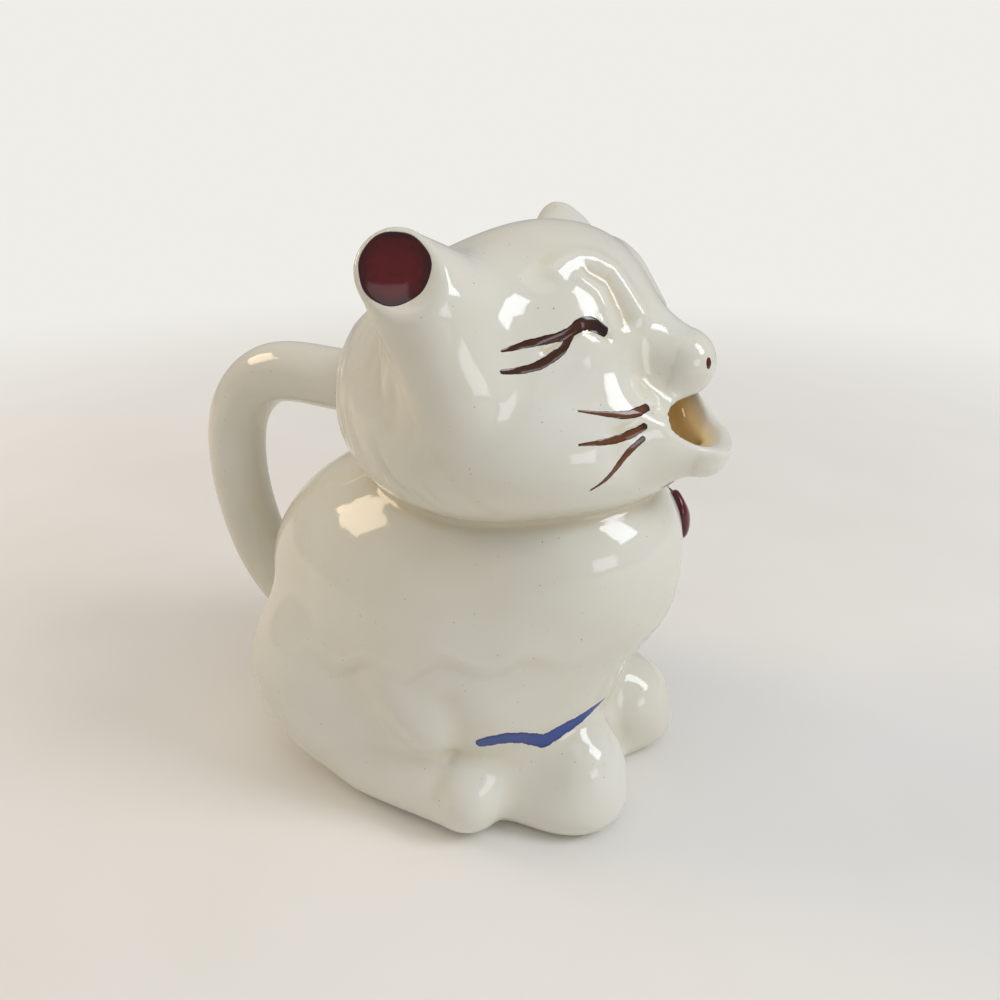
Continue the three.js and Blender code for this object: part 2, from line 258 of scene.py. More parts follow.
@dataclass
class CatClay:
    """The sculpted cat: body, head, ears, paws and the relief pressed in its skin."""

    wall: float = 4.0
    floor: float = 4.5
    neck_height: float = 72.0
    neck_blend: float = 2.0
    body_blend: float = 8.0
    limb_blend: float = 5.0
    boot_spread: float = 12.9
    boot_shift: float = 0.9
    boot_reach: float = 41.8
    boot_stagger: float = 1.4
    boot_radius: float = 11.0
    hind_paw_spread: float = 27.0
    nose_reach: float = 51.5
    lip_reach: float = 57.2
    ear_spread: float = 35.4
    ear_rise: float = 41.7
    ear_radius: float = 6.3
    ear_blend: float = 6.5
    cup_radius: float = 16.0
    cup_depth: float = 1.0
    brow_line: Line = (
        (-15.2, -33.4, 111.8), (-13.3, -34.2, 113.0), (-10.4, -35.6, 113.7), (-8.4, -37.8, 113.0),
        (-7.0, -40.5, 111.6), (-6.8, -42.8, 108.6), (-6.4, -45.7, 104.4),
    )
    brow_dent: Line = (
        (-11.4, -38.1, 111.2), (-9.9, -40.5, 109.7), (-9.7, -42.8, 106.6), (-9.6, -44.1, 104.2),
    )
    lid_line: Line = (
        (-13.3, -37.2, 110.6), (-12.3, -40.0, 108.5), (-12.2, -41.7, 105.6), (-12.3, -42.5, 103.3),
    )
    eye_crease: Line = (
        (-13.6, -42.4, 101.8), (-15.0, -40.9, 103.0), (-17.0, -38.9, 103.4), (-19.7, -36.9, 102.0),
        (-22.5, -35.0, 100.9),
    )
    paw_fold: Line = ((-31.0, -20.6, 20.6), (-33.6, -20.2, 17.0), (-35.4, -18.8, 12.0))
    paw_nick: Line = ((-30.9, -21.6, 20.8), (-32.0, -20.9, 18.6))
    thigh_line: Line = ((-35.6, -9.5, 37.0), (-35.6, -13.0, 31.0), (-34.2, -16.6, 24.5))
    thigh_valley: Line = ((-33.6, -22.4, 35.0), (-32.4, -23.6, 28.8), (-31.0, -22.6, 22.0))
    bib_height: float = 44.8
    bib_scallops: float = 15.0
    trough_spread: float = 1.57
    roof_rise: float = 18.8
    roof_arch: float = 0.027
    lip_round: float = 0.85
    lip_hollow: float = 0.85
    fill_lean: float = 24.0
    fill_wide: float = 15.5
    fill_deep: float = 10.5
    body: Lump = field(init=False)
    head: Lump = field(init=False)
    trough: Lump = field(init=False)

    def __post_init__(self) -> None:
        """Pile up the two lumps that the cat is blended from, and the pouring trough."""
        self.body = self.body_clay()
        self.head = self.head_clay()
        self.trough = self.pouring_trough()

    def on_head(self, x: float, y: float, rise: float) -> Point:
        """A point given by its rise over the neck."""
        return (x, y, self.neck_height + rise)

    def on_boot(self, side: int, out: float, back: float, z: float) -> Point:
        """A point on a forepaw: outwards and backwards from the middle of its toe, and its height.

        The right paw stands a little behind the left one, and both a little to the cat's right.

        Args:
            side: 1 for the left paw, -1 for the right one.
            out: How far outwards, in millimetres.
            back: How far backwards.
            z: Its height.

        Returns:
            The point.
        """
        x = side * (self.boot_spread + out) - self.boot_shift
        return (x, back - self.boot_reach - side * self.boot_stagger, z)

    def body_clay(self) -> Lump:
        """Chest, belly, haunches, hind paws and the booted forepaws.

        Returns:
            The body as one lump.
        """
        soft = self.body_blend
        limb = self.limb_blend
        round_boot = self.boot_radius
        layers: list[tuple[Lump, float]] = [
            (Egg((0, -8, 33), (36, 38, 36)), soft),  # belly
            (Egg(self.on_head(0, -14, -22), (32, 41.2, 26)), soft),  # chest
            (Egg(self.on_head(0, 6, -30), (28, 32.5, 26)), soft),  # back
            (Egg(self.on_head(0, -31, -11), (24, 22.5, 14)), soft),  # throat
            (Egg((0, -2, 10), (35, 38, 15)), soft),  # seat
        ]
        for side in (-1, 1):
            heel = (side * (self.hind_paw_spread - 3), 0, 8.5)
            toe = (side * self.hind_paw_spread, -22, 8.5)
            shin = self.on_boot(side, 2.2, 15.8, round_boot + 1.5)
            boot = self.on_boot(side, 0, 0, round_boot - 0.2)
            sole = self.on_boot(side, 1.5, 3.4, 5.3)
            layers += [
                (Egg((side * 20, 12, 24), (17.5, 22, 23)), limb),  # haunch
                (Limb(heel, toe, 10, 9), limb),
                (Limb(shin, boot, round_boot, round_boot), limb),
                (Egg(sole, (11.2, 15, 7.6)), limb),
            ]
        layers.append((Egg((0, -21, 3), (24, 26, 6)), limb))  # foot between the paws
        layers.append((Limb((-9, -34, 10.5), (9, -36, 10.5), 9, 9), limb - 1))  # web between the boots
        return heap(layers)

    def ear_centre(self, side: int) -> Array:
        """Middle of an ear."""
        return np.array(self.on_head(side * self.ear_spread, -16.6, self.ear_rise))

    def ear_facing(self, side: int) -> Array:
        """The way that an ear's cup looks."""
        out = np.array([side * 0.86, -0.28, 0.42])
        return out / np.linalg.norm(out)

    def head_clay(self) -> Lump:
        """Skull, cheeks, brow, nose, jaw and the cupped ears.

        Returns:
            The head as one lump.
        """
        soft = self.body_blend
        bridge, nose = self.on_head(0, -38, 26), self.on_head(0, -self.nose_reach, 23.5)
        jaw, lip = self.on_head(0, -45, 10), self.on_head(0, -self.lip_reach, 7.6)
        layers: list[tuple[Lump, float]] = [
            (Egg(self.on_head(0, -16.5, 17), (33, 28, 25)), soft),  # skull
            (Egg(self.on_head(0, -8, 14), (24, 21.5, 19)), soft),  # nape
            (Egg(self.on_head(0, -22, 10.5), (34, 32.5, 16.5)), soft),  # cheeks
            (Egg(self.on_head(0, -36, 9.5), (17, 19.5, 11.5)), soft),  # chin
            (Egg(self.on_head(0, -27.5, 30), (20, 18, 16)), soft),  # brow
            (Limb(bridge, nose, 10, 6.2), self.limb_blend),
            (Limb(jaw, lip, 8.5, 4.6, 1.6), self.limb_blend),
        ]
        cups: list[Lump] = []
        for side in (-1, 1):
            centre = self.ear_centre(side)
            facing_out = self.ear_facing(side)
            root = self.on_head(side * (self.ear_spread - 17.4), -20, self.ear_rise - 13.7)
            tip = tuple(centre - facing_out * self.cup_depth)
            cheek = self.on_head(side * (self.ear_spread - 6.4), -22, self.ear_rise - 18.7)
            lobe = self.on_head(side * (self.ear_spread - 4.4), -19, self.ear_rise - 8.7)
            layers += [
                (Limb(root, tip, 13, self.ear_radius), self.ear_blend),
                (Limb(cheek, lobe, 7, 6), self.ear_blend),
            ]
            middle = centre + facing_out * (self.cup_radius - self.cup_depth)
            cups.append(Egg(tuple(middle), (self.cup_radius,) * 3))
        clay = heap(layers)

        def value(points: Array) -> Array:
            """Value of the head with both ear cups pressed in.

            Args:
                points: Where it is read.

            Returns:
                The value at each point.
            """
            total = clay(points)
            for cup in cups:
                total = carve(total, cup(points), 1.6)
            return total

        return value

    def plain(self, points: Array) -> Array:
        """Value of the cat without its relief."""
        return blend(self.body(points), self.head(points), self.neck_blend)

    def bib_wave(self, points: Array) -> Array:
        """Height of the scalloped edge of the fur on the flanks and chest.

        The edge runs round the body and sinks slowly towards the back. A cosine of the turn about
        the upright, bib_scallops waves round, makes the scallops, and a slower sine makes them
        uneven. The fur stands proud above the edge, with a bead along it, and fades upwards.

        Args:
            points: Where it is read.

        Returns:
            The height at each point, in millimetres.
        """
        x, y, z = points.T
        turn = np.degrees(np.arctan2(np.abs(x), -(y + 8.0)))
        sinking = 0.12 * 6.0 * np.logaddexp(0.0, (turn - 55.0) / 6.0)
        scallop = 1.4 * np.cos(np.radians(self.bib_scallops * (turn - 69.5)))
        scallop = scallop + 0.5 * np.sin(np.radians(6.3 * turn + 20.0))
        above = z - (self.bib_height - sinking + scallop)
        lip = step(above, 4.2) * np.exp(-np.maximum(above, 0.0) / 9.0)
        bead = bump(above - 1.4, 1.3) * (0.6 + 0.4 * np.sin(turn / 7.0))
        strength = np.clip((turn - 22.0) / 30.0, 0.1, 1.0) * np.clip((128.0 - turn) / 22.0, 0.0, 1.0)
        near = step(14.0 - np.abs(z - 45.0), 4.0)
        return (0.58 * lip + 0.2 * bead) * strength * near

    def ruff(self, points: Array) -> Array:
        """Height of the combed fur behind the ears.

        Behind a slanted line the skin drops by a soft stair, and wavy tufts run down it: a sine
        of the turn about the head, bent by a slower sine of the height.

        Args:
            points: Where it is read.

        Returns:
            The height at each point, in millimetres.
        """
        x, y, z = points.T
        side = 0.874 * (y + 13.0) - 0.485 * (z - 104.0)
        turn = np.degrees(np.arctan2(np.abs(x), y + 22.0))
        sway = 5.0 * np.sin(z / 5.2 + turn / 17.0) + 2.5 * np.sin(z / 2.3 + turn / 8.0)
        tuft = np.sin(np.radians(22.0 * (turn + sway)))
        tuft = tuft + 0.5 * np.sin(np.radians(47.0 * (turn + 0.7 * sway)))
        tuft *= 0.7 + 0.3 * np.sin(z / 3.1 + turn / 9.0)
        fade = step(side - 1.5, 5.0) * step(z - 76.0, 5.0) * step(101.0 - z, 14.0) * step(turn - 20.0, 12.0)
        drop = step(side, 4.0) * step(z - 76.0, 8.0) * step(110.0 - z, 8.0)
        return -0.45 * drop + 0.17 * tuft * fade

    def face_relief(self, points: Array) -> Array:
        """Height of the modelling about the closed eyes and the muzzle, alike on both sides.

        Args:
            points: Where it is read.

        Returns:
            The height at each point, in millimetres.
        """
        right = folded(points)
        hollow = -0.45 * dab(right, (-12.4, -42.2, 105.6), 4.2)
        lid = 0.4 * dab(right, (-16.6, -40.4, 100.0), 4.6) + 0.3 * dab(right, (-18.0, -37.0, 107.5), 5.0)
        pad = 0.8 * dab(right, (-15.0, -46.4, 91.8), 6.0)
        crease = -0.6 * dab(right, (-9.0, -48.6, 95.2), 3.4) - 0.35 * dab(right, (-8.4, -48.0, 99.0), 3.0)
        total = hollow + lid + pad + crease
        near = within(points, (-FAR, -FAR, 94.0), (FAR, -26.0, 120.0))
        spots = right[near]
        brow = 0.85 * ridge(spots, self.brow_line, 1.7) + 0.3 * ridge(spots, self.lid_line, 1.0)
        dents = 0.4 * ridge(spots, self.brow_dent, 1.4) + 0.3 * ridge(spots, self.eye_crease, 0.9)
        total[near] += brow - dents
        return total

    def paw_relief(self, points: Array) -> Array:
        """Height of the relief on the hind legs.

        Each paw has a rounded toe, a fold behind it and a nick in the fold. Above it the thigh
        stands a little proud, with a shallow valley before it.

        Args:
            points: Where it is read.

        Returns:
            The height at each point, in millimetres.
        """
        right = folded(points)
        total = np.zeros(len(points))
        near = within(right, (-FAR, -40.0, -FAR), (-18.0, 4.0, 50.0))
        spots = right[near]
        toe = 0.8 * dab(spots, (-32.6, -26.0, 13.0), 4.6)
        fold = 0.34 * ridge(spots, self.paw_fold, 2.4)
        nick = 0.3 * ridge(spots, self.paw_nick, 0.7)
        thigh = 1.1 * ridge(spots, self.thigh_line, 4.6)
        valley = 0.6 * ridge(spots, self.thigh_valley, 3.6)
        total[near] = toe - fold - nick + thigh - valley
        return total

    def lip_relief(self, points: Array) -> Array:
        """Height of the rolled edge of the mouth, which follows the pouring trough on both sides.

        Below the roll the sides are drawn in, and so are the lip's tip and the throat under it.

        Args:
            points: Where it is read.

        Returns:
            The height at each point, in millimetres.
        """
        total = np.zeros(len(points))
        near = within(points, (-FAR, -FAR, 64.0), (FAR, -43.0, 96.0))
        spots = points[near]
        from_trough = self.trough(spots)
        fade = step(-45.5 - spots[:, 1], 4.0) * step(89.4 - spots[:, 2], 2.4)
        sides = 1.0 - bump(spots[:, 0], 5.0)
        roll = self.lip_round * bump(from_trough - 1.0, 1.4)
        roll = roll - self.lip_hollow * bump(from_trough - 4.6, 2.4) * sides
        tip = dab(spots, (0.0, -61.5, 84.5), 3.0, 1.5)
        throat = dab(spots, (0.0, -54.5, 75.2), 4.0, 1.8)
        total[near] = roll * fade - 1.2 * tip - 1.0 * throat
        return total

    def relief(self, points: Array) -> Array:
        """Height of all the relief over the plain clay."""
        fur = self.bib_wave(points) + self.ruff(points)
        return fur + self.face_relief(points) + self.paw_relief(points) + self.lip_relief(points)

    def skin(self, points: Array) -> Array:
        """Value of the cat with its relief."""
        return self.plain(points) - self.relief(points)

    def pouring_trough(self) -> Lump:
        """The pouring trough: two bars that narrow towards the lip and one out over it.

        Returns:
            The trough as one lump.
        """
        spread = self.trough_spread
        back, corner = self.on_head(0, -38, 12), self.on_head(0, -51, 15.3)
        tip = self.on_head(0, -self.lip_reach - 2.8, 15.2)
        over = self.on_head(0, 0.2 - self.lip_reach, 15.7)
        leave = self.on_head(0, -self.lip_reach - 10.8, 21.4)
        bars = (
            Limb(back, corner, 8.0, 7.1, spread), Limb(corner, tip, 7.1, 5.2, spread),
            Limb(over, leave, 5.2, 8.0, spread),
        )
        return heap((bar, 1.0) for bar in bars)

    def mouth_way(self, points: Array) -> Array:
        """Value of the pouring way: the trough, under a roof that arches down to its corners."""
        roof = self.neck_height + self.roof_rise - self.roof_arch * points[:, 0] ** 2
        return overlap(self.trough(points), points[:, 2] - roof, 1.0)

    def filling_way(self, points: Array) -> Array:
        """Value of the oval filling shaft behind the ears, which leans back by fill_lean degrees.

        Args:
            points: Where it is read.

        Returns:
            The value at each point.
        """
        lean = math.radians(self.fill_lean)
        offset = points - np.array(self.on_head(0, 1.8, 34))
        upright = offset[:, 1] * math.sin(lean) + offset[:, 2] * math.cos(lean)
        back = offset[:, 1] * math.cos(lean) - offset[:, 2] * math.sin(lean)
        radius = np.hypot(offset[:, 0] / self.fill_wide, back / self.fill_deep)
        return np.maximum((radius - 1.0) * self.fill_deep, np.abs(upright) - 14.0)

    def cast(self, points: Array, rim: float) -> Array:
        """Value of the casting's wall: the skin less the space inside.

        The space is the plain cat drawn in by the wall, above the floor.

        Args:
            points: Where it is worked out.
            rim: Rounding of the edges where skin and hollow meet.

        Returns:
            The value at each point.
        """
        plain = self.plain(points)
        hollow = overlap(plain + self.wall, self.floor - points[:, 2], 2.0)
        return carve(plain - self.relief(points), hollow, rim)


# Corners of a tetrahedron about a point, at which a shape is read for its slope there.
CORNERS = np.array([(1.0, 1.0, 1.0), (1.0, -1.0, -1.0), (-1.0, 1.0, -1.0), (-1.0, -1.0, 1.0)])


def slope_of(shape: Lump, points: Array, reach: float = 0.05) -> Array:
    """Slope of a shape at points, from its values at the corners of a small tetrahedron.

    Args:
        shape: The shape.
        points: Where it is read.
        reach: Size of the tetrahedron in millimetres.

    Returns:
        The slope at each point.
    """
    slopes = np.zeros_like(points)
    for corner in CORNERS:
        slopes += shape(points + corner * (reach / 2))[:, None] * corner
    return slopes / (2.0 * reach)


def settle(shape: Lump, points: Array, height: Array | float = 0.0, rounds: int = 3) -> Array:
    """Move points along the slope of a shape until they lie at a height over its skin.

    Args:
        shape: The shape that they settle on.
        points: Where they start.
        height: Height over the skin in millimetres, one for all or one each.
        rounds: How many steps are made.

    Returns:
        The settled points.
    """
    placed = points.copy()
    for _ in range(rounds):
        slopes = slope_of(shape, placed)
        gain = (height - shape(placed)) / np.maximum((slopes**2).sum(axis=-1), 1e-6)
        move = slopes * gain[:, None]
        length = np.linalg.norm(move, axis=-1, keepdims=True)
        placed += move * np.minimum(1.0, 2.0 / np.maximum(length, 1e-9))
    return placed


def unit(vectors: Array) -> Array:
    """Vectors of length one."""
    return vectors / np.maximum(np.linalg.norm(vectors, axis=-1, keepdims=True), 1e-12)


# Meshes


@dataclass
class Skin:
    """A mesh in the making, in millimetres: points, faces, normals and values painted on it."""

    points: Array
    faces: list[list[int]]
    normals: Array | None = None
    paint: dict[str, Array] = field(default_factory=dict)

    def to_piece(self, name: str, material: bpy.types.Material) -> bpy.types.Object:
        """Put the skin into a smooth Blender mesh in metres.

        Args:
            name: Name of the piece.
            material: Its finish.

        Returns:
            The piece's object, at the origin.
        """
        mesh = bpy.data.meshes.new(name)
        mesh.from_pydata((self.points * MM).tolist(), [], self.faces)
        mesh.shade_smooth()
        for label, values in self.paint.items():
            layer = mesh.attributes.new(label, "FLOAT", "POINT")
            layer.data.foreach_set("value", values.astype(np.float32))
        mesh.materials.append(material)
        if mesh.validate():
            LOG.warning("%s had faces that Blender mended", name)
        if self.normals is not None and len(mesh.vertices) == len(self.normals):
            mesh.normals_split_custom_set_from_vertices(self.normals.tolist())
        return stand(name, mesh)


def stand(name: str, data: bpy.types.ID) -> bpy.types.Object:
    """Stand a mesh, lamp or camera in the scene as an object at the origin.

    Args:
        name: Name of the object.
        data: What it shows.

    Returns:
        The object.
    """
    made = bpy.data.objects.new(name, data)
    bpy.context.scene.collection.objects.link(made)
    return made


def net(shape: Lump, low: Point, high: Point, cell: float) -> tuple[Array, Array]:
    """Cast a net over the zero surface of a shape.

    Space is cut in cubes. A cube that the surface crosses gets one point, the mean of where the
    surface crosses its edges, and an edge that the surface crosses gets the face through the
    four cubes round it. A head with a mouth, a filling hole and a hollow is no single grid of
    two parameters, which is why the casting is skinned in this way.

    Args:
        shape: The shape.
        low: Lowest corner of the space, in millimetres.
        high: Highest corner of it.
        cell: Side of a cube.

    Returns:
        The points and the faces of four corners, turned outwards.
    """
    counts = np.ceil((np.array(high) - np.array(low)) / cell).astype(int) + 1
    lines = [low[axis] + cell * np.arange(counts[axis]) for axis in range(3)]
    values = np.empty(tuple(counts))
    plane = np.stack(np.meshgrid(lines[1], lines[2], indexing="ij"), axis=-1).reshape(-1, 2)
    for index in range(counts[0]):
        spots = np.column_stack([np.full(len(plane), lines[0][index]), plane])
        values[index] = shape(spots).reshape(counts[1], counts[2])
    inside = values < 0.0
    cells = tuple(counts - 1)
    total = np.zeros(cells + (3,))
    hits = np.zeros(cells)
    crossings = []
    for axis in range(3):
        near = [slice(None)] * 3
        ahead = [slice(None)] * 3
        near[axis] = slice(0, -1)
        ahead[axis] = slice(1, None)
        first, second = values[tuple(near)], values[tuple(ahead)]
        crossed = inside[tuple(near)] != inside[tuple(ahead)]
        where = np.argwhere(crossed)
        share = first[crossed] / (first[crossed] - second[crossed])
        spot = np.array(low) + where * cell
        spot[:, axis] += share * cell
        one, two = (axis + 1) % 3, (axis + 2) % 3
        corners = []
        for shift_one, shift_two in ((-1, -1), (0, -1), (0, 0), (-1, 0)):
            home = where.copy()
            home[:, one] += shift_one
            home[:, two] += shift_two
            valid = ((home >= 0) & (home < np.array(cells))).all(axis=1)
            flat = np.ravel_multi_index(home[valid].T, cells)
            np.add.at(hits.reshape(-1), flat, 1.0)
            np.add.at(total.reshape(-1, 3), flat, spot[valid])
            corners.append((home, valid))
        crossings.append((corners, inside[tuple(near)][crossed]))
    number = np.full(cells, -1)
    used = hits > 0
    number[used] = np.arange(used.sum())
    points = total[used] / hits[used][:, None]
    faces = []
    for corners, outward in crossings:
        valid = np.logical_and.reduce([ok for _, ok in corners])
        quads = np.stack([number[tuple(home[valid].T)] for home, _ in corners], axis=1)
        quads[~outward[valid]] = quads[~outward[valid]][:, ::-1]
        faces.append(quads)
    return points, np.concatenate(faces)


def ease(points: Array, quads: Array) -> Array:
    """Move each point of a net halfway to the mean of its neighbours, which evens the net out.

    Args:
        points: Points of the net.
        quads: Its faces of four corners.

    Returns:
        The eased points.
    """
    total = np.zeros_like(points)
    count = np.zeros(len(points))
    for start, end in ((0, 1), (1, 2), (2, 3), (3, 0)):
        for one, two in ((start, end), (end, start)):
            np.add.at(total, quads[:, one], points[quads[:, two]])
            np.add.at(count, quads[:, one], 1.0)
    return 0.5 * points + 0.5 * total / count[:, None]


def curl_of(shape: Lump, points: Array, reach: float = 1.2) -> Array:
    """How hollow a skin is at points, in 1/mm: the negative sum of its two curvatures.

    Args:
        shape: The shape whose skin it is.
        points: Where it is read.
        reach: Step of the differences in millimetres.

    Returns:
        The hollowness at each point.
    """
    total = np.zeros(len(points))
    for axis in range(3):
        shift = np.zeros(3)
        shift[axis] = reach
        total += shape(points + shift) + shape(points - shift)
    return -(total - 6.0 * shape(points)) / reach**2


def smooth_line(points: Sequence[Point], count: int) -> Array:
    """Evenly spaced points on a centripetal Catmull-Rom curve.

    Each span is a cubic whose end slopes come from its neighbours, weighed by the square roots
    of the distances between the points. The curve is then walked at an even pace.

    Args:
        points: The points that the curve runs through.
        count: How many points are wanted.

    Returns:
        The points on the curve.
    """
    knots = np.asarray(points, float)
    ends = np.vstack([2 * knots[0] - knots[1], knots, 2 * knots[-1] - knots[-2]])
    gaps = np.sqrt(np.linalg.norm(np.diff(ends, axis=0), axis=1))
    dense = []
    local = np.linspace(0.0, 1.0, 40, endpoint=False)[:, None]
    for i in range(len(knots) - 1):
        before, start, end, after = ends[i : i + 4]
        g0, g1, g2 = gaps[i : i + 3]
        leave = ((start - before) / g0 - (end - before) / (g0 + g1) + (end - start) / g1) * g1
        arrive = ((end - start) / g1 - (after - start) / (g1 + g2) + (after - end) / g2) * g1
        cubic = 2 * start - 2 * end + leave + arrive
        square = -3 * start + 3 * end - 2 * leave - arrive
        dense.append(((cubic * local + square) * local + leave) * local + start)
    curve = np.vstack(dense + [knots[-1:]])
    walked = np.concatenate([[0.0], np.cumsum(np.linalg.norm(np.diff(curve, axis=0), axis=1))])
    paces = np.linspace(0.0, walked[-1], count)
    return np.stack([np.interp(paces, walked, curve[:, axis]) for axis in range(3)], axis=1)


def tube_faces(rings: int, sides: int) -> list[list[int]]:
    """Faces of a closed tube of rings, with a pole before the first ring and one after the last.

    The points are the first pole, the rings in order and the last pole.

    Args:
        rings: How many rings.
        sides: Points in a ring.

    Returns:
        The faces as lists of point numbers.
    """
    ring = np.arange(sides)
    after = (ring + 1) % sides
    last = 1 + (rings - 1) * sides
    faces: list[list[int]] = []
    for low in range(1, last, sides):
        high = low + sides
        faces += np.stack([low + ring, low + after, high + after, high + ring], axis=1).tolist()
    pole = np.zeros(sides, int)
    faces += np.stack([pole, 1 + after, 1 + ring], axis=1).tolist()
    faces += np.stack([pole + last + sides, last + ring, last + after], axis=1).tolist()
    return faces


# Finishes


def linear(colour: str) -> tuple[float, float, float, float]:
    """Turn an sRGB hex colour into the linear colour that a shader takes.

    Args:
        colour: The colour as # and six hex digits.

    Returns:
        Red, green, blue and an alpha of 1.
    """
    parts = [int(colour[i : i + 2], 16) / 255.0 for i in (1, 3, 5)]
    turned = [part / 12.92 if part <= 0.04045 else ((part + 0.055) / 1.055) ** 2.4 for part in parts]
    return (turned[0], turned[1], turned[2], 1.0)


def per_mm(size: float) -> float:
    """Scale of a pattern whose features are so many millimetres apart, for metres."""
    return 1.0 / (size * MM)


class Tree:
    """The node tree of a material or of the world."""

    def __init__(self, owner: bpy.types.Material | bpy.types.World) -> None:
        """Start the owner's tree with no node in it.

        Args:
            owner: The material or world.
        """
        owner.use_nodes = True
        self.nodes = owner.node_tree.nodes
        self.links = owner.node_tree.links
        self.nodes.clear()

    def add(
        self, kind: str, inputs: dict | None = None, out: str | int = 0, **settings: object
    ) -> Socket | None:
        """Add a node with its settings and links.

        Args:
            kind: The node's type, without the start that all these types share.
            inputs: Socket names or numbers, with a value or the output to link from.
            out: Name or number of the output that is wanted.
            settings: Properties of the node.

        Returns:
            The wanted output, or None where the node has none.
        """
        node = self.nodes.new("ShaderNode" + kind)
        for label, value in settings.items():
            setattr(node, label, value)
        for socket, value in (inputs or {}).items():
            if isinstance(value, bpy.types.NodeSocket):
                self.links.new(value, node.inputs[socket])
            else:
                node.inputs[socket].default_value = value
        return node.outputs[out] if len(node.outputs) else None


@dataclass(frozen=True)
class IvoryGlaze:
    """Clear gloss glaze over cream earthenware, dipped and fired.

    The clay shows through as a warm ivory, yellower where the glaze pools in hollows, with small
    brown iron specks. The glossy skin is not quite flat: it sways over about a centimetre, which
    breaks up reflections, and has a fine orange peel. Sizes are in millimetres.
    """

    cream: str = "#e2dfd2"
    shade: str = "#dcd7c6"
    pooled: str = "#c8b88f"
    # Warm ochre painted inside the mouth and the hollow, a painted glow that stands in for warm light falling
    # in through the filling hole.
    painted_glow: str = "#efd49a"
    speck: str = "#4a3524"
    biscuit: str = "#d8c6a6"
    roughness: float = 0.07
    cloud_size: float = 30.0
    speck_gap: float = 1.6
    wiped_foot: tuple[float, float] = (0.7, 0.3)
    sway_size: float = 9.0
    sway_height: float = 0.35
    peel_size: float = 1.3
    peel_height: float = 0.012

    def material(self) -> bpy.types.Material:
        """Build the material.

        Returns:
            The material.
        """
        material = bpy.data.materials.new("ivory_glaze")
        tree = Tree(material)
        place = tree.add("TexCoord", out="Object")
        pool = tree.add("Attribute", out="Fac", attribute_name="pooling")
        # How far a point lies inside the mouth or the hollow, where the painted warm glow is laid.
        inner = tree.add("Attribute", out="Fac", attribute_name="painted_glow")
        # Slow drift of the clay's warmth, in wide patches.
        cloud = {"Vector": place, "Scale": per_mm(self.cloud_size), "Detail": 3.0}
        cloud = tree.add("TexNoise", cloud, out="Fac")
        drift = tree.add("MapRange", {0: cloud, 1: 0.35, 2: 0.65})
        # Iron specks: one in each cube of the gap's size, up to a tenth of it in radius, which the skin
        # meets now and then.
        cell = tree.add("TexVoronoi", {"Vector": place, "Scale": per_mm(self.speck_gap)}, out="Color")
        size = tree.add("Math", {0: tree.add("SeparateColor", {0: cell}), 1: 0.085}, operation="MULTIPLY")
        depth = tree.add("Math", {0: size, 1: cell.node.outputs["Distance"]}, operation="SUBTRACT")
        spot = tree.add("MapRange", {0: depth, 1: 0.0, 2: 0.03})
        spot = tree.add("Math", {0: spot, 1: 0.85}, operation="MULTIPLY")
        # The wiped foot is bare biscuit up to about half a millimetre.
        height = tree.add("SeparateXYZ", {0: place}, out="Z")
        top, base = self.wiped_foot
        bare = tree.add("MapRange", {0: height, 1: top * MM, 2: base * MM, 3: 0.0, 4: 1.0})
        # Tints in turn: the clay's drift, glaze pooled in hollows, the painted warm glow inside, iron specks
        # and the bare foot.
        colour = linear(self.cream)
        tints = (self.shade, self.pooled, self.painted_glow, self.speck, self.biscuit)
        for share, tint in zip((drift, pool, inner, spot, bare), tints):
            colour = tree.add("Mix", {0: share, 6: colour, 7: linear(tint)}, out=2, data_type="RGBA")
        rough = tree.add("Math", {0: bare, 1: 0.7}, operation="MULTIPLY")
        rough = tree.add("Math", {0: self.roughness, 1: rough}, operation="ADD")
        # The sway of the glaze, and its orange peel.
        sway = {"Vector": place, "Scale": per_mm(self.sway_size), "Detail": 2.0}
        sway = {"Height": tree.add("TexNoise", sway, out="Fac"), "Distance": self.sway_height * MM}
        peel = {"Vector": place, "Scale": per_mm(self.peel_size), "Detail": 1.0}
        peel = {"Height": tree.add("TexNoise", peel, out="Fac"), "Distance": self.peel_height * MM}
        waves = tree.add("Bump", {**sway, "Strength": 0.6})
        grain = tree.add("Bump", {**peel, "Strength": 0.5, "Normal": waves})
        looks = {"Base Color": colour, "Roughness": rough, "IOR": 1.5, "Normal": grain}
        tree.add("OutputMaterial", {"Surface": tree.add("BsdfPrincipled", looks)})
        return material


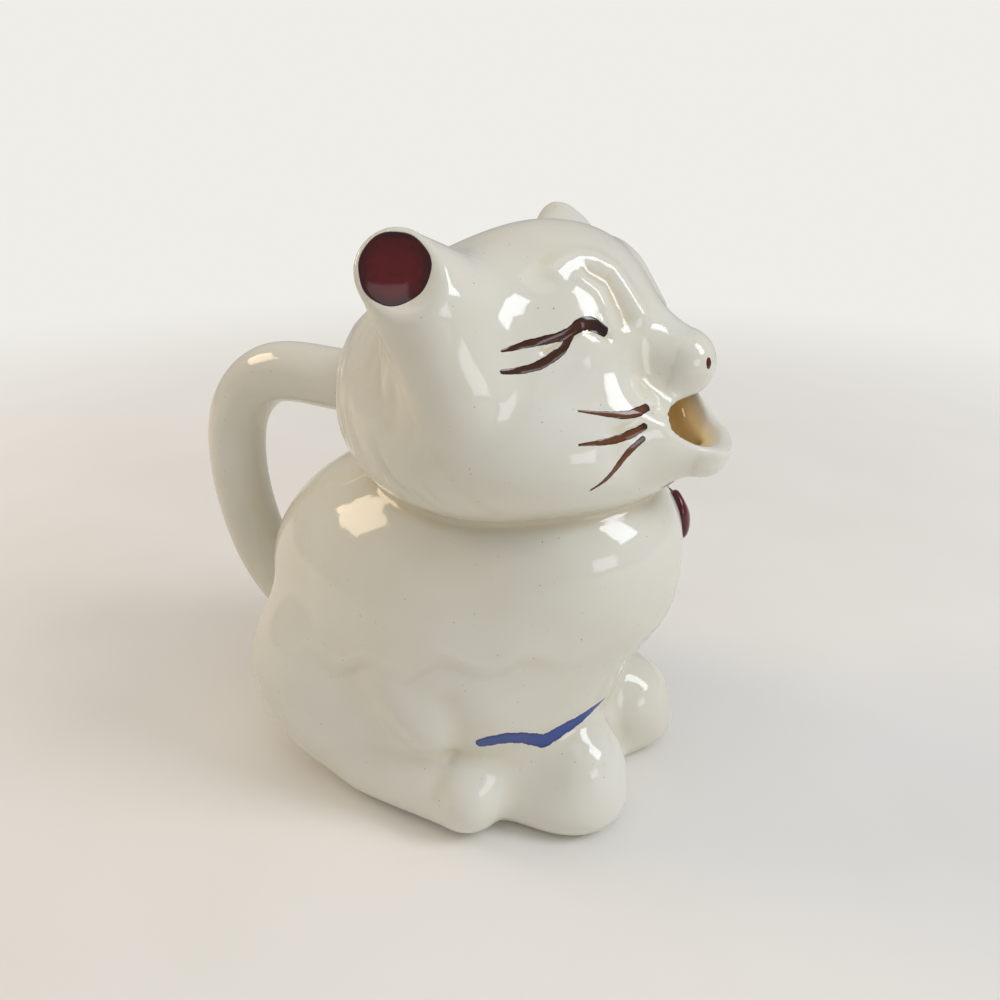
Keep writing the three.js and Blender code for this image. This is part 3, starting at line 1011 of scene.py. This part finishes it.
@dataclass(frozen=True)
class Enamel:
    """Coloured enamel brushed over the glaze and fired to a gloss.

    The colour is thin in the middle of a stroke, where the ivory warms it, and gathers dark at its
    edges and ends, with fine streaks from the brush's hairs. Sizes are in millimetres.
    """

    name: str
    thick: str
    thin: str
    end: str
    edge: float = 0.55
    roughness: float = 0.1
    mottle_size: float = 1.1
    ripple_height: float = 0.02

    def material(self) -> bpy.types.Material:
        """Build the material from the values painted along and across a stroke.

        Returns:
            The material.
        """
        material = bpy.data.materials.new(self.name)
        tree = Tree(material)
        place = tree.add("TexCoord", out="Object")
        across = tree.add("Attribute", out="Fac", attribute_name="across")
        along = tree.add("Attribute", out="Fac", attribute_name="along")
        gathered = tree.add("Attribute", out="Fac", attribute_name="gathered")
        # Hair streaks: noise drawn out along the stroke, 0.25 mm apart at the widest.
        sideways = tree.add("Math", {0: across, 1: 3.0}, operation="MULTIPLY")
        onwards = tree.add("Math", {0: along, 1: 1.2}, operation="MULTIPLY")
        lines = tree.add("CombineXYZ", {0: sideways, 1: onwards})
        hairs = tree.add("TexNoise", {"Vector": lines, "Scale": 2.2, "Detail": 3.0}, out="Fac")
        # Mottle, where the colour floated in the firing.
        mottle = {"Vector": place, "Scale": per_mm(self.mottle_size), "Detail": 3.0}
        mottle = tree.add("TexNoise", mottle, out="Fac")
        rim = tree.add("Math", {0: across}, operation="ABSOLUTE")
        depth = tree.add("MapRange", {0: rim, 1: self.edge, 2: 1.0})
        for noise, strength in ((hairs, 1.1), (mottle, 0.9)):
            even = tree.add("Math", {0: noise, 1: 0.5}, operation="SUBTRACT")
            more = tree.add("Math", {0: even, 1: strength}, operation="MULTIPLY")
            depth = tree.add("Math", {0: depth, 1: more}, operation="ADD")
        colour = linear(self.thin)
        for share, tint in ((tree.add("Clamp", {0: depth}), self.thick), (gathered, self.end)):
            colour = tree.add("Mix", {0: share, 6: colour, 7: linear(tint)}, out=2, data_type="RGBA")
        ripple = tree.add("Bump", {"Height": mottle, "Distance": self.ripple_height * MM, "Strength": 0.5})
        looks = {"Base Color": colour, "Roughness": self.roughness, "IOR": 1.52, "Normal": ripple}
        tree.add("OutputMaterial", {"Surface": tree.add("BsdfPrincipled", looks)})
        return material


class Slot(Enum):
    """The material slots of the record."""

    IVORY = "ivory_glaze"
    MAROON = "maroon_enamel"
    BROWN = "brown_enamel"
    BLUE = "blue_enamel"


@dataclass
class Finishes:
    """The finishes that the creamer is dressed in, each built once."""

    glaze: bpy.types.Material = field(default_factory=IvoryGlaze().material)
    maroon: bpy.types.Material = field(
        default_factory=Enamel("maroon_enamel", "#36060a", "#5c0d14", "#2c0508", 0.5).material
    )
    brown: bpy.types.Material = field(
        default_factory=Enamel("brown_enamel", "#28140a", "#6a3c15", "#190c09", 0.5).material
    )
    dark_brown: bpy.types.Material = field(
        default_factory=Enamel("dark_brown_enamel", "#1f0a07", "#46200e", "#1c0808", 0.45).material
    )
    blue: bpy.types.Material = field(
        default_factory=Enamel("blue_enamel", "#1f2f6b", "#334a8e", "#1e2c68").material
    )


def dress(piece: bpy.types.Object, slot: Slot, *nodes: str) -> None:
    """Let a piece ride on the body and stand for its nodes, which are hidden.

    Args:
        piece: The piece.
        slot: Its material slot in the record, which is not used here.
        nodes: The solids that it stands for.
    """
    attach(piece, "root")
    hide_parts(*nodes)
    LOG.info("%s: %d faces, stands for %s", piece.name, len(piece.data.polygons), ", ".join(nodes))


# The casting


@dataclass
class Casting:
    """The slip-cast cat: the torso and the head, which meet in the groove of the neck."""

    clay: CatClay
    finishes: Finishes
    torso_cell: float = 0.9
    head_cell: float = 0.62
    rim_round: float = 1.6
    lip_round: float = 1.3
    torso_low: tuple[float, float] = (-40.0, -57.0)
    torso_high: tuple[float, float] = (40.0, 41.0)
    head_low: tuple[float, float] = (-42.0, -65.0)
    head_high: Point = (42.0, 18.0, 121.0)

    def torso_shape(self, points: Array) -> Array:
        """Value of the torso's wall, without the level cut at the neck."""
        return overlap(self.clay.cast(points, self.rim_round), -points[:, 2], 1.0)

    def head_shape(self, points: Array) -> Array:
        """Value of the head's wall with the mouth and the filling hole, without the level cut.

        Args:
            points: Where it is read.

        Returns:
            The value at each point.
        """
        wall = self.clay.cast(points, self.rim_round)
        open_mouth = carve(wall, self.clay.mouth_way(points), self.lip_round)
        return carve(open_mouth, self.clay.filling_way(points), self.rim_round)

    def skin_between(self, shape: Lump, low: Point, high: Point, cell: float, below: bool) -> Skin:
        """Skin a shape up to the neck's level or from it.

        The net's points are settled on the shape, but for those of the flat cut. The free ones are
        then eased along the skin, and those of the cut's edge run level onto the skin.

        Args:
            shape: The wall.
            low: Lowest corner of its space.
            high: Highest corner of its space.
            cell: Side of a cube of the net.
            below: Whether the piece lies below the neck's level.

        Returns:
            The closed skin with its normals, its glaze pooling and its painted warm glow inside.
        """
        level = self.clay.neck_height
        sense = 1.0 if below else -1.0

        def cut(points: Array) -> Array:
            """Value of the shape on its side of the neck's level."""
            return np.maximum(shape(points), sense * (points[:, 2] - level))

        points, quads = net(cut, low, high, cell)
        past = sense * (points[:, 2] - level)
        value = shape(points)
        flat = past > value
        reach = 0.8 * cell
        corner = (np.abs(past) < reach) & (np.abs(value) < reach)
        moved = settle(shape, points, rounds=2)
        points = np.where((flat & ~corner)[:, None], points, moved)
        free = ~(flat | corner)
        for _ in range(2):
            eased = ease(points, quads)
            points[free] = settle(shape, eased[free], rounds=1)
        points[flat | corner, 2] = level
        rim = points[corner]
        least = 0.04
        for _ in range(5):
            slopes = slope_of(shape, rim)
            slopes[:, 2] = 0.0
            gain = -shape(rim) / np.maximum((slopes**2).sum(axis=-1), least)
            rim += slopes * gain[:, None]
        points[corner] = rim
        points[:, 2] = np.minimum(points[:, 2], level) if below else np.maximum(points[:, 2], level)
        normals = unit(slope_of(shape, points, 0.12))
        normals[flat & ~corner] = (0.0, 0.0, sense)
        skin = Skin(points, quads.tolist(), normals)
        # Glaze pooling, and the share of the painted warm glow inside the mouth and the hollow.
        skin.paint = {"pooling": self.pooling(points), "painted_glow": self.painted_glow(points)}
        return skin

    def pooling(self, points: Array) -> Array:
        """How far glaze pools at points: from the hollowness of the skin there, 0 to 0.45."""
        hollow = curl_of(self.clay.skin, points, 1.0)
        return np.clip(hollow * 0.9, 0.0, 0.45) * (self.clay.skin(points) > -2.0)

    def painted_glow(self, points: Array) -> Array:
        """How far points lie inside the mouth or the hollow, 0 outside to 1 past the rim."""
        # This share is the painted warm glow, which stands in for warm light falling in through the filling
        # hole.
        depth = -self.clay.skin(points)
        return np.clip((depth - 0.7) / 2.2, 0.0, 1.0)

    def build(self) -> None:
        """Make and dress both pieces."""
        level = self.clay.neck_height
        half = self.torso_cell / 2
        rows = math.ceil((level + half + 1.0) / self.torso_cell)
        foot = level + half - rows * self.torso_cell
        low, high = (*self.torso_low, foot), (*self.torso_high, level + half)
        torso = self.skin_between(self.torso_shape, low, high, self.torso_cell, True)
        dress(torso.to_piece("torso_casting", self.finishes.glaze), Slot.IVORY, "torso_shell")
        low = (*self.head_low, level - self.head_cell / 2)
        head = self.skin_between(self.head_shape, low, self.head_high, self.head_cell, False)
        dress(head.to_piece("head_casting", self.finishes.glaze), Slot.IVORY, "head_shell")


@dataclass
class HandleLoop:
    """The round handle, luted to the back of the head and to the rump."""

    clay: CatClay
    finishes: Finishes
    diameter: float = 13.4
    fillet: float = 3.2
    skin_sink: float = 0.25
    root_depth: float = 1.6
    seam_depth: float = 0.5
    push: float = 4.5
    halvings: int = 11
    rings: int = 190
    sides: int = 72
    line: Line = (
        (0, 8, 82), (0, 22, 83.6), (0, 41, 82.6), (0, 51.6, 73), (0, 55, 55), (0, 50, 34), (0, 40, 23),
        (0, 31, 20),
    )

    def build(self) -> None:
        """Make and dress the handle.

        The loop is a tube round its line: a function of the way along it and the turn about it.
        Each point is pushed out from the line to where the rod blended with the cat ends, found by
        halving, which gives the fillets of slip at both roots. Near the cat the normals turn into
        those of its skin, and both ends are sunk in it, so that no seam shows.
        """
        skin = self.clay.skin
        line = smooth_line(self.line, 900)
        outside = np.flatnonzero(skin(line) > -self.root_depth)
        path = line[outside[0] : outside[-1] + 1]
        paces = np.linspace(0, len(path) - 1, self.rings)
        middle = np.stack([np.interp(paces, np.arange(len(path)), run) for run in path.T], axis=1)
        ahead = unit(np.gradient(middle, axis=0))
        side = np.tile([1.0, 0.0, 0.0], (self.rings, 1))
        up = np.cross(ahead, side)
        turn = np.linspace(0, 2 * np.pi, self.sides, endpoint=False)
        rays = np.cos(turn)[None, :, None] * side[:, None] + np.sin(turn)[None, :, None] * up[:, None]
        starts = np.repeat(middle, self.sides, axis=0)
        rays = rays.reshape(-1, 3)
        radius = self.diameter / 2
        bars = line[::12]

        def joined(points: Array) -> Array:
            """Value of the rod blended with the cat, whose skin is sunk to hide what lies along it."""
            return blend(skin(points) + self.skin_sink, from_line(points, bars) - radius, self.fillet)

        low = np.full(len(rays), radius * 0.9)
        high = np.full(len(rays), radius + self.push)
        for _ in range(self.halvings):
            half = (low + high) / 2
            inside = joined(starts + rays * half[:, None]) < 0
            low = np.where(inside, half, low)
            high = np.where(inside, high, half)
        points = starts + rays * high[:, None]
        share = step(skin(points) - 0.5, 1.0)[:, None]
        slopes = share * slope_of(joined, points, 0.1) + (1.0 - share) * slope_of(skin, points, 0.1)
        grid = points.reshape(self.rings, self.sides, 3)
        sunk = [settle(skin, grid[end], -self.seam_depth) for end in (0, -1)]
        for end in (0, 1):
            buried = skin(sunk[end]) < -0.2
            grid[-end] = np.where(buried[:, None], sunk[end], grid[-end])
        points = np.vstack([middle[:1], grid.reshape(-1, 3), middle[-1:]])
        normals = np.vstack([-ahead[:1], unit(slopes), ahead[-1:]])
        proud = skin(points)
        pooling = 0.4 * step(proud - 0.8, 1.6) * np.clip(1.0 - proud / 5.0, 0.0, 1.0)
        # The handle has no inside, so none of the painted warm glow.
        paint = {"pooling": pooling, "painted_glow": np.zeros(len(points))}
        loop = Skin(points, tube_faces(self.rings, self.sides), normals, paint)
        dress(loop.to_piece("handle_loop", self.finishes.glaze), Slot.IVORY, "handle")


@dataclass
class NeckBow:
    """The small raised bow on the chest: two puffed loops drawn in at a knot."""

    clay: CatClay
    finishes: Finishes
    side: float = 17.0
    drop: float = 10.6
    spread: float = 5.2
    reach: float = 12.0
    cell: float = 0.32

    def build(self) -> None:
        """Make and dress the bow from eggs on the chest, with folds pressed in at the knot."""
        knot = settle(self.clay.plain, np.array([[self.side, -50.0, self.clay.neck_height - self.drop]]))
        out = unit(slope_of(self.clay.plain, knot, 0.5))[0]
        axes = facing(out)
        loops: list[tuple[Lump, float]] = [(Egg(tuple(knot[0]), (2.4, 1.9, 2.5), axes), 0.8)]
        for way in (-1, 1):
            middle = settle(self.clay.plain, knot + axes[:, 1] * way * self.spread)
            lift = unit(slope_of(self.clay.plain, middle, 0.5))[0]
            tilt = facing(lift)
            puff = middle[0] + tilt[:, 1] * way * 0.9
            loops.append((Egg(tuple(puff), (2.1, 3.5, 5.5), tilt), 0.9))
            loops.append((Egg(tuple((middle[0] + knot[0]) / 2), (1.7, 3.2, 3.2), tilt), 1.2))
        pile = heap(loops)

        def shape(points: Array) -> Array:
            """Value of the bow over a bed just under the skin, with three folds in each loop.

            Args:
                points: Where it is read.

            Returns:
                The value at each point.
            """
            offset = points - knot[0]
            run = offset @ axes[:, 1]
            rise = offset @ axes[:, 2]
            fan = np.arctan2(rise, np.abs(run) + 0.6)
            fold = 0.28 * np.cos(fan * 7.0) * bump(np.abs(run) - 4.0, 3.4) * (np.abs(run) > 1.0)
            return overlap(pile(points) + 0.12 - fold, -self.clay.skin(points) - 0.5, 0.3)

        points, quads = net(shape, tuple(knot[0] - self.reach), tuple(knot[0] + self.reach), self.cell)
        points = settle(shape, points)
        height = np.clip(self.clay.skin(points) / 1.4, 0.0, 1.0)
        paint = {"across": 1.0 - 0.7 * height, "along": points[:, 2], "gathered": np.zeros(len(points))}
        bow = Skin(points, quads.tolist(), unit(slope_of(shape, points, 0.06)), paint)
        dress(bow.to_piece("neck_bow_raised", self.finishes.maroon), Slot.MAROON, "neck_bow")


# Enamel

# A film's top stands this far over the glaze, and its edge is sunk to its root, in millimetres.
STROKE_TOP, STROKE_ROOT = 0.05, 0.12
PATCH_TOP, PATCH_ROOT = 0.08, 0.15


def film_height(lift: Array, top: float, root: float, power: float) -> Array:
    """Height over the skin round a film: the top times a power of the lift, or sunk evenly below."""
    return np.where(lift > 0.0, top * np.maximum(lift, 0.0) ** power, root * lift)


@dataclass(frozen=True)
class Stroke:
    """A brush stroke on the cat's right side: its line, its half widths and its dark start."""

    line: Line
    halves: tuple[float, ...]
    dark: float = 0.0

    def film(
        self, clay: CatClay, mirror: bool, rings: int = 84, sides: int = 20, shift: Point = (0, 0, 0)
    ) -> Skin:
        """Lay the stroke on the skin as a closed film.

        A ring of the film is a lens: across is the cosine of a turn, times the half width there,
        and the height over the skin its sine, times the film's thickness, or sunk where negative.

        Args:
            clay: The cat that it lies on.
            mirror: Whether it lies on the cat's left side.
            rings: Rings along the stroke.
            sides: Points in a ring.
            shift: How far the mirrored stroke is moved.

        Returns:
            The film with the way along and across it painted on.
        """
        flip = np.array([-1.0 if mirror else 1.0, 1.0, 1.0])
        middle = settle(clay.skin, smooth_line(self.line, rings) * flip + np.array(shift), rounds=6)
        share = np.linspace(0.0, 1.0, rings)
        width = np.interp(share, np.linspace(0.0, 1.0, len(self.halves)), self.halves)
        smooth = np.convolve(np.pad(width, 5, mode="edge"), np.ones(11) / 11, mode="valid")
        length = np.linalg.norm(np.diff(middle, axis=0), axis=1).sum()
        from_end = np.minimum(share, 1.0 - share) * length
        flat = np.minimum(from_end / np.maximum(smooth, 0.05), 1.0)
        rounding = np.sqrt(np.clip(1.0 - (1.0 - flat) ** 2, 0.0, 1.0))
        wobble = 1.0 + 0.05 * np.sin(share * length * 2.1 + length) + 0.03 * np.sin(share * length * 5.3)
        half = smooth * rounding * wobble + 0.02
        ahead = unit(np.gradient(middle, axis=0))
        out = unit(slope_of(clay.skin, middle))
        sideways = unit(np.cross(out, ahead))
        turn = np.linspace(0, 2 * np.pi, sides, endpoint=False)
        spots = middle[:, None] + sideways[:, None] * (half[:, None] * np.cos(turn))[..., None]
        height = np.tile(film_height(np.sin(turn), STROKE_TOP, STROKE_ROOT, 0.8), rings)
        places = settle(clay.skin, spots.reshape(-1, 3), height, rounds=5)
        ends = settle(clay.skin, middle[[0, -1]], -0.02)
        points = np.vstack([ends[:1], places, ends[1:]])
        across = np.concatenate([[0.0], np.tile(np.cos(turn), rings), [0.0]])
        along = np.concatenate([[0.0], np.repeat(share * length, sides), [length]])
        start = np.clip(1.0 - along / self.dark, 0.0, 1.0) if self.dark else np.zeros(len(along))
        tip = np.clip(1.0 - (length - along) / 0.9, 0.0, 1.0)
        gathered = np.clip(start**0.6 + 0.7 * tip, 0.0, 1.0)
        paint = {"across": across, "along": along, "gathered": gathered}
        return Skin(points, tube_faces(rings, sides), paint=paint)


EYE_LINE = Stroke(
    (
        (-13.4, -42.3, 102.2), (-14.2, -41.5, 103.0), (-15.0, -40.5, 103.7), (-16.0, -39.5, 104.2),
        (-17.0, -38.7, 104.0), (-18.2, -37.9, 103.3), (-19.7, -36.8, 102.7), (-21.4, -35.4, 102.4),
        (-23.0, -34.1, 102.2), (-24.5, -32.7, 102.0), (-26.2, -31.5, 101.7), (-28.3, -30.3, 101.5),
    ),
    (0.9, 1.14, 1.2, 1.14, 0.96, 0.8, 0.72, 0.68, 0.62, 0.52, 0.38, 0.15),
    4.5,
)
LASH_LINE = Stroke(
    (
        (-17.8, -38.2, 103.2), (-19.4, -37.5, 101.6), (-20.4, -37.1, 100.6), (-21.5, -36.4, 100.0),
        (-22.7, -35.7, 99.4), (-24.3, -34.7, 98.8), (-25.9, -33.4, 98.5), (-27.7, -32.1, 98.5),
        (-29.5, -30.8, 98.7),
    ),
    (0.3, 0.52, 0.7, 0.8, 0.76, 0.66, 0.56, 0.46, 0.3),
)
WHISKERS = {
    "upper": Stroke(
        ((-12.3, -49.4, 90.5), (-14.3, -48.4, 90.2), (-16.6, -46.9, 90.2), (-18.7, -45.0, 90.5),
         (-20.5, -43.1, 91.1), (-22.5, -40.8, 91.8)),
        (0.66, 0.8, 0.68, 0.46, 0.28, 0.14),
        1.4,
    ),
    "middle": Stroke(
        ((-14.6, -50.0, 88.3), (-17.5, -48.5, 87.5), (-20.3, -46.6, 87.1), (-22.8, -44.4, 87.1),
         (-25.2, -42.1, 87.2)),
        (0.54, 0.72, 0.62, 0.42, 0.15),
        1.4,
    ),
    "lower": Stroke(
        ((-15.8, -50.3, 86.7), (-18.7, -49.1, 84.9), (-21.0, -47.6, 82.6), (-22.6, -46.1, 80.8),
         (-24.1, -44.1, 79.3)),
        (0.44, 0.56, 0.52, 0.38, 0.14),
        1.4,
    ),
}
BOOT_LINE = Stroke(
    (
        (-30.5, -25.9, 24.2), (-29.3, -28.5, 25.2), (-27.6, -31.1, 25.5), (-25.2, -33.6, 24.6),
        (-22.9, -35.7, 23.0), (-22.0, -36.6, 22.5), (-20.4, -38.2, 23.1), (-18.5, -39.6, 23.8),
        (-16.4, -41.0, 24.1), (-13.8, -42.3, 24.4), (-10.6, -43.4, 24.4), (-6.0, -44.1, 23.6),
    ),
    (1.2, 1.5, 1.62, 1.62, 1.6, 1.66, 1.45, 1.25, 0.95, 0.72, 0.44, 0.18),
)


def patch(
    clay: CatClay, centre: Array, axes: Array, wide: float, tall: float, rings: int = 22, sides: int = 72
) -> Skin:
    """Lay an oval patch of enamel on the skin.

    A point is a reach from the middle and a turn about it. The reach runs out over the top of the
    film and back below it, and the outline sways a little, as a brushed edge does.

    Args:
        clay: The cat that it lies on.
        centre: Its middle.
        axes: Its axes, out, across and up.
        wide: Half its width.
        tall: Half its height.
        rings: Rings on the top and as many below.
        sides: Points in a ring.

    Returns:
        The film with its reach painted on.
    """
    lens = np.linspace(0.0, np.pi, rings)[1:-1]
    reach = np.sin(lens)
    height = film_height(np.cos(lens), PATCH_TOP, PATCH_ROOT, 0.5)
    turn = np.linspace(0, 2 * np.pi, sides, endpoint=False)
    edge = 1.0 + 0.018 * np.sin(3 * turn + 1.0) + 0.012 * np.sin(7 * turn)
    across = (reach[:, None] * np.cos(turn) * edge * wide).reshape(-1, 1)
    up = (reach[:, None] * np.sin(turn) * edge * tall).reshape(-1, 1)
    spots = centre + across * axes[:, 1] + up * axes[:, 2]
    spots = np.vstack([centre, spots, centre])
    heights = np.concatenate([[PATCH_TOP], np.repeat(height, sides), [-PATCH_ROOT]])
    points = settle(clay.skin, spots, heights, rounds=6)
    faces = [face[::-1] for face in tube_faces(len(lens), sides)]
    out = np.concatenate([[0.0], np.repeat(reach, sides), [0.0]])
    paint = {"across": out, "along": points[:, 2] * 0.3, "gathered": np.zeros(len(points))}
    return Skin(points, faces, paint=paint)


@dataclass
class PaintedFace:
    """All the enamel: ears, eyes, whiskers, nostrils and the lines on the boots."""

    clay: CatClay
    finishes: Finishes
    ear_rim: float = 0.9
    nostril_half: tuple[float, float] = (0.62, 1.0)
    nostril_place: Point = (2.8, -56.9, 96.6)
    nostril_turn: float = 0.4

    def build(self) -> None:
        """Make and dress the films on both sides.

        The boot lines are given for the right boot, and the left one follows the paws' stagger.
        """
        clay, finishes = self.clay, self.finishes
        for side, hand in ((1, "left"), (-1, "right")):
            mirror = side > 0
            reach = clay.ear_radius - self.ear_rim
            ear = patch(clay, clay.ear_centre(side), facing(clay.ear_facing(side)), reach, reach)
            films = [(ear, f"ear_lining_{hand}", finishes.maroon, Slot.MAROON, f"ear_patch_{hand}")]
            eye = (finishes.dark_brown, Slot.BROWN, f"eye_stroke_{hand}")
            films.append((EYE_LINE.film(clay, mirror), f"eye_line_{hand}", *eye))
            films.append((LASH_LINE.film(clay, mirror), f"eye_lash_{hand}", *eye))
            for row, stroke in WHISKERS.items():
                node = f"whisker_{row}_{hand}"
                films.append((stroke.film(clay, mirror), f"{node}_brushed", finishes.brown, Slot.BROWN, node))
            x, y, z = self.nostril_place
            out = facing((side * self.nostril_turn, -1, 0))
            dot = patch(clay, np.array([side * x, y, z]), out, *self.nostril_half, rings=12, sides=32)
            films.append((dot, f"nostril_dot_{hand}", finishes.maroon, Slot.MAROON, f"nostril_{hand}"))
            shift = (-2 * clay.boot_shift, -2 * clay.boot_stagger, 0.0) if mirror else (0.0, 0.0, 0.0)
            boot = BOOT_LINE.film(clay, mirror, rings=140, shift=shift)
            films.append((boot, f"boot_stripe_{hand}", finishes.blue, Slot.BLUE, f"boot_line_{hand}"))
            for film, name, finish, slot, node in films:
                dress(film.to_piece(name, finish), slot, node)


# The studio


def aim(thing: bpy.types.Object, way: Point | Vector) -> None:
    """Turn a lamp or the camera to look along a way."""
    thing.rotation_euler = Vector(way).to_track_quat("-Z", "Y").to_euler()


@dataclass(frozen=True)
class SoftBox:
    """A lamp with a wide soft face: its place and size in metres, its watts and its tint."""

    name: str
    place: Point
    wide: float
    tall: float
    power: float
    tint: str

    def hang(self, target: Point) -> None:
        """Hang the lamp so that it looks at a target.

        Args:
            target: The point that it looks at, in metres.
        """
        data = bpy.data.lights.new(self.name, "AREA")
        data.color = linear(self.tint)[:3]
        data.shape = "RECTANGLE"
        data.size, data.size_y = self.wide, self.tall
        data.energy = self.power
        lamp = stand(self.name, data)
        lamp.location = self.place
        aim(lamp, Vector(target) - Vector(self.place))


@dataclass
class Studio:
    """Floor, backdrop, lamps and the camera, in metres.

    The floor fades into the backdrop from fade_near to fade_far, for the camera alone.
    """

    floor_colour: str = "#edeae4"
    floor_drift: str = "#eae7e0"
    backdrop_colour: str = "#efede8"
    floor_reach: float = 3.0
    fade_near: float = 0.10
    fade_far: float = 0.62
    world_strength: float = 0.36
    lamps_look_at: Point = (0.0, -0.01, 0.06)
    camera_place: Point = (-0.130, -0.0775, 0.129)
    camera_way: Point = (0.8214, 0.3830, -0.4226)
    lens: float = 27.0
    sensor: float = 36.0
    lamps: tuple[SoftBox, ...] = (
        SoftBox("window", (0.09, -0.655, 0.59), 0.24, 0.44, 2.9, "#eef4ff"),
        SoftBox("low_window", (-0.30, -0.76, 0.19), 0.28, 0.22, 0.6, "#eef4ff"),
        SoftBox("back_fill", (-0.16, 0.66, 0.47), 0.32, 0.28, 1.8, "#ffe6c4"),
        SoftBox("top_soft", (-0.15, -0.05, 1.0), 0.9, 0.9, 2.0, "#ffffff"),
    )

    def floor(self) -> None:
        """A wide pale matt floor, painted unevenly over some 60 mm."""
        material = bpy.data.materials.new("pale_floor")
        tree = Tree(material)
        place = tree.add("TexCoord", out="Object")
        grain = tree.add("TexNoise", {"Vector": place, "Scale": per_mm(60), "Detail": 2.0}, out="Fac")
        drift = tree.add("MapRange", {0: grain, 1: 0.35, 2: 0.65})
        tones = {0: drift, 6: linear(self.floor_colour), 7: linear(self.floor_drift)}
        tone = tree.add("Mix", tones, out=2, data_type="RGBA")
        matt = tree.add("BsdfPrincipled", {"Base Color": tone, "Roughness": 0.85})
        distance = tree.add("VectorMath", {0: place}, out="Value", operation="LENGTH")
        fade = {0: distance, 1: self.fade_near, 2: self.fade_far}
        far = tree.add("MapRange", fade, interpolation_type="SMOOTHSTEP")
        seen = tree.add("LightPath", out="Is Camera Ray")
        share = tree.add("Math", {0: far, 1: seen}, operation="MULTIPLY")
        glow = tree.add("Emission", {"Color": linear(self.backdrop_colour), "Strength": 1.0})
        tree.add("OutputMaterial", {"Surface": tree.add("MixShader", {0: share, 1: matt, 2: glow})})
        mesh = bpy.data.meshes.new("floor")
        reach = self.floor_reach
        corners = [(-reach, -reach, 0), (reach, -reach, 0), (reach, reach, 0), (-reach, reach, 0)]
        mesh.from_pydata(corners, [], [[0, 1, 2, 3]])
        mesh.materials.append(material)
        floor = stand("floor", mesh)

    def world(self) -> None:
        """The pale backdrop where the camera sees it, and a soft even fill for everything else."""
        world = bpy.data.worlds.new("studio")
        bpy.context.scene.world = world
        tree = Tree(world)
        fill = tree.add("Background", {"Color": (1, 1, 1, 1), "Strength": self.world_strength})
        seen = tree.add("Background", {"Color": linear(self.backdrop_colour), "Strength": 1.0})
        camera = tree.add("LightPath", out="Is Camera Ray")
        tree.add("OutputWorld", {"Surface": tree.add("MixShader", {0: camera, 1: fill, 2: seen})})

    def camera(self) -> None:
        """The camera at the photograph's place, for a square picture."""
        data = bpy.data.cameras.new("camera")
        data.lens = self.lens
        data.sensor_width = self.sensor
        data.clip_start = 0.005
        camera = stand("camera", data)
        camera.location = self.camera_place
        aim(camera, self.camera_way)
        bpy.context.scene.camera = camera

    def build(self) -> None:
        """Set up the studio."""
        bpy.context.scene.view_settings.view_transform = "Standard"
        self.floor()
        self.world()
        for lamp in self.lamps:
            lamp.hang(self.lamps_look_at)
        self.camera()


def main() -> None:
    """Build the creamer, sub-assembly by sub-assembly, and the studio round it."""
    logging.basicConfig(level=logging.INFO, format="%(name)s: %(message)s")
    Studio().build()
    clay = CatClay()
    finishes = Finishes()
    Casting(clay, finishes).build()
    HandleLoop(clay, finishes).build()
    NeckBow(clay, finishes).build()
    PaintedFace(clay, finishes).build()


if __name__ == "__main__":
    main()
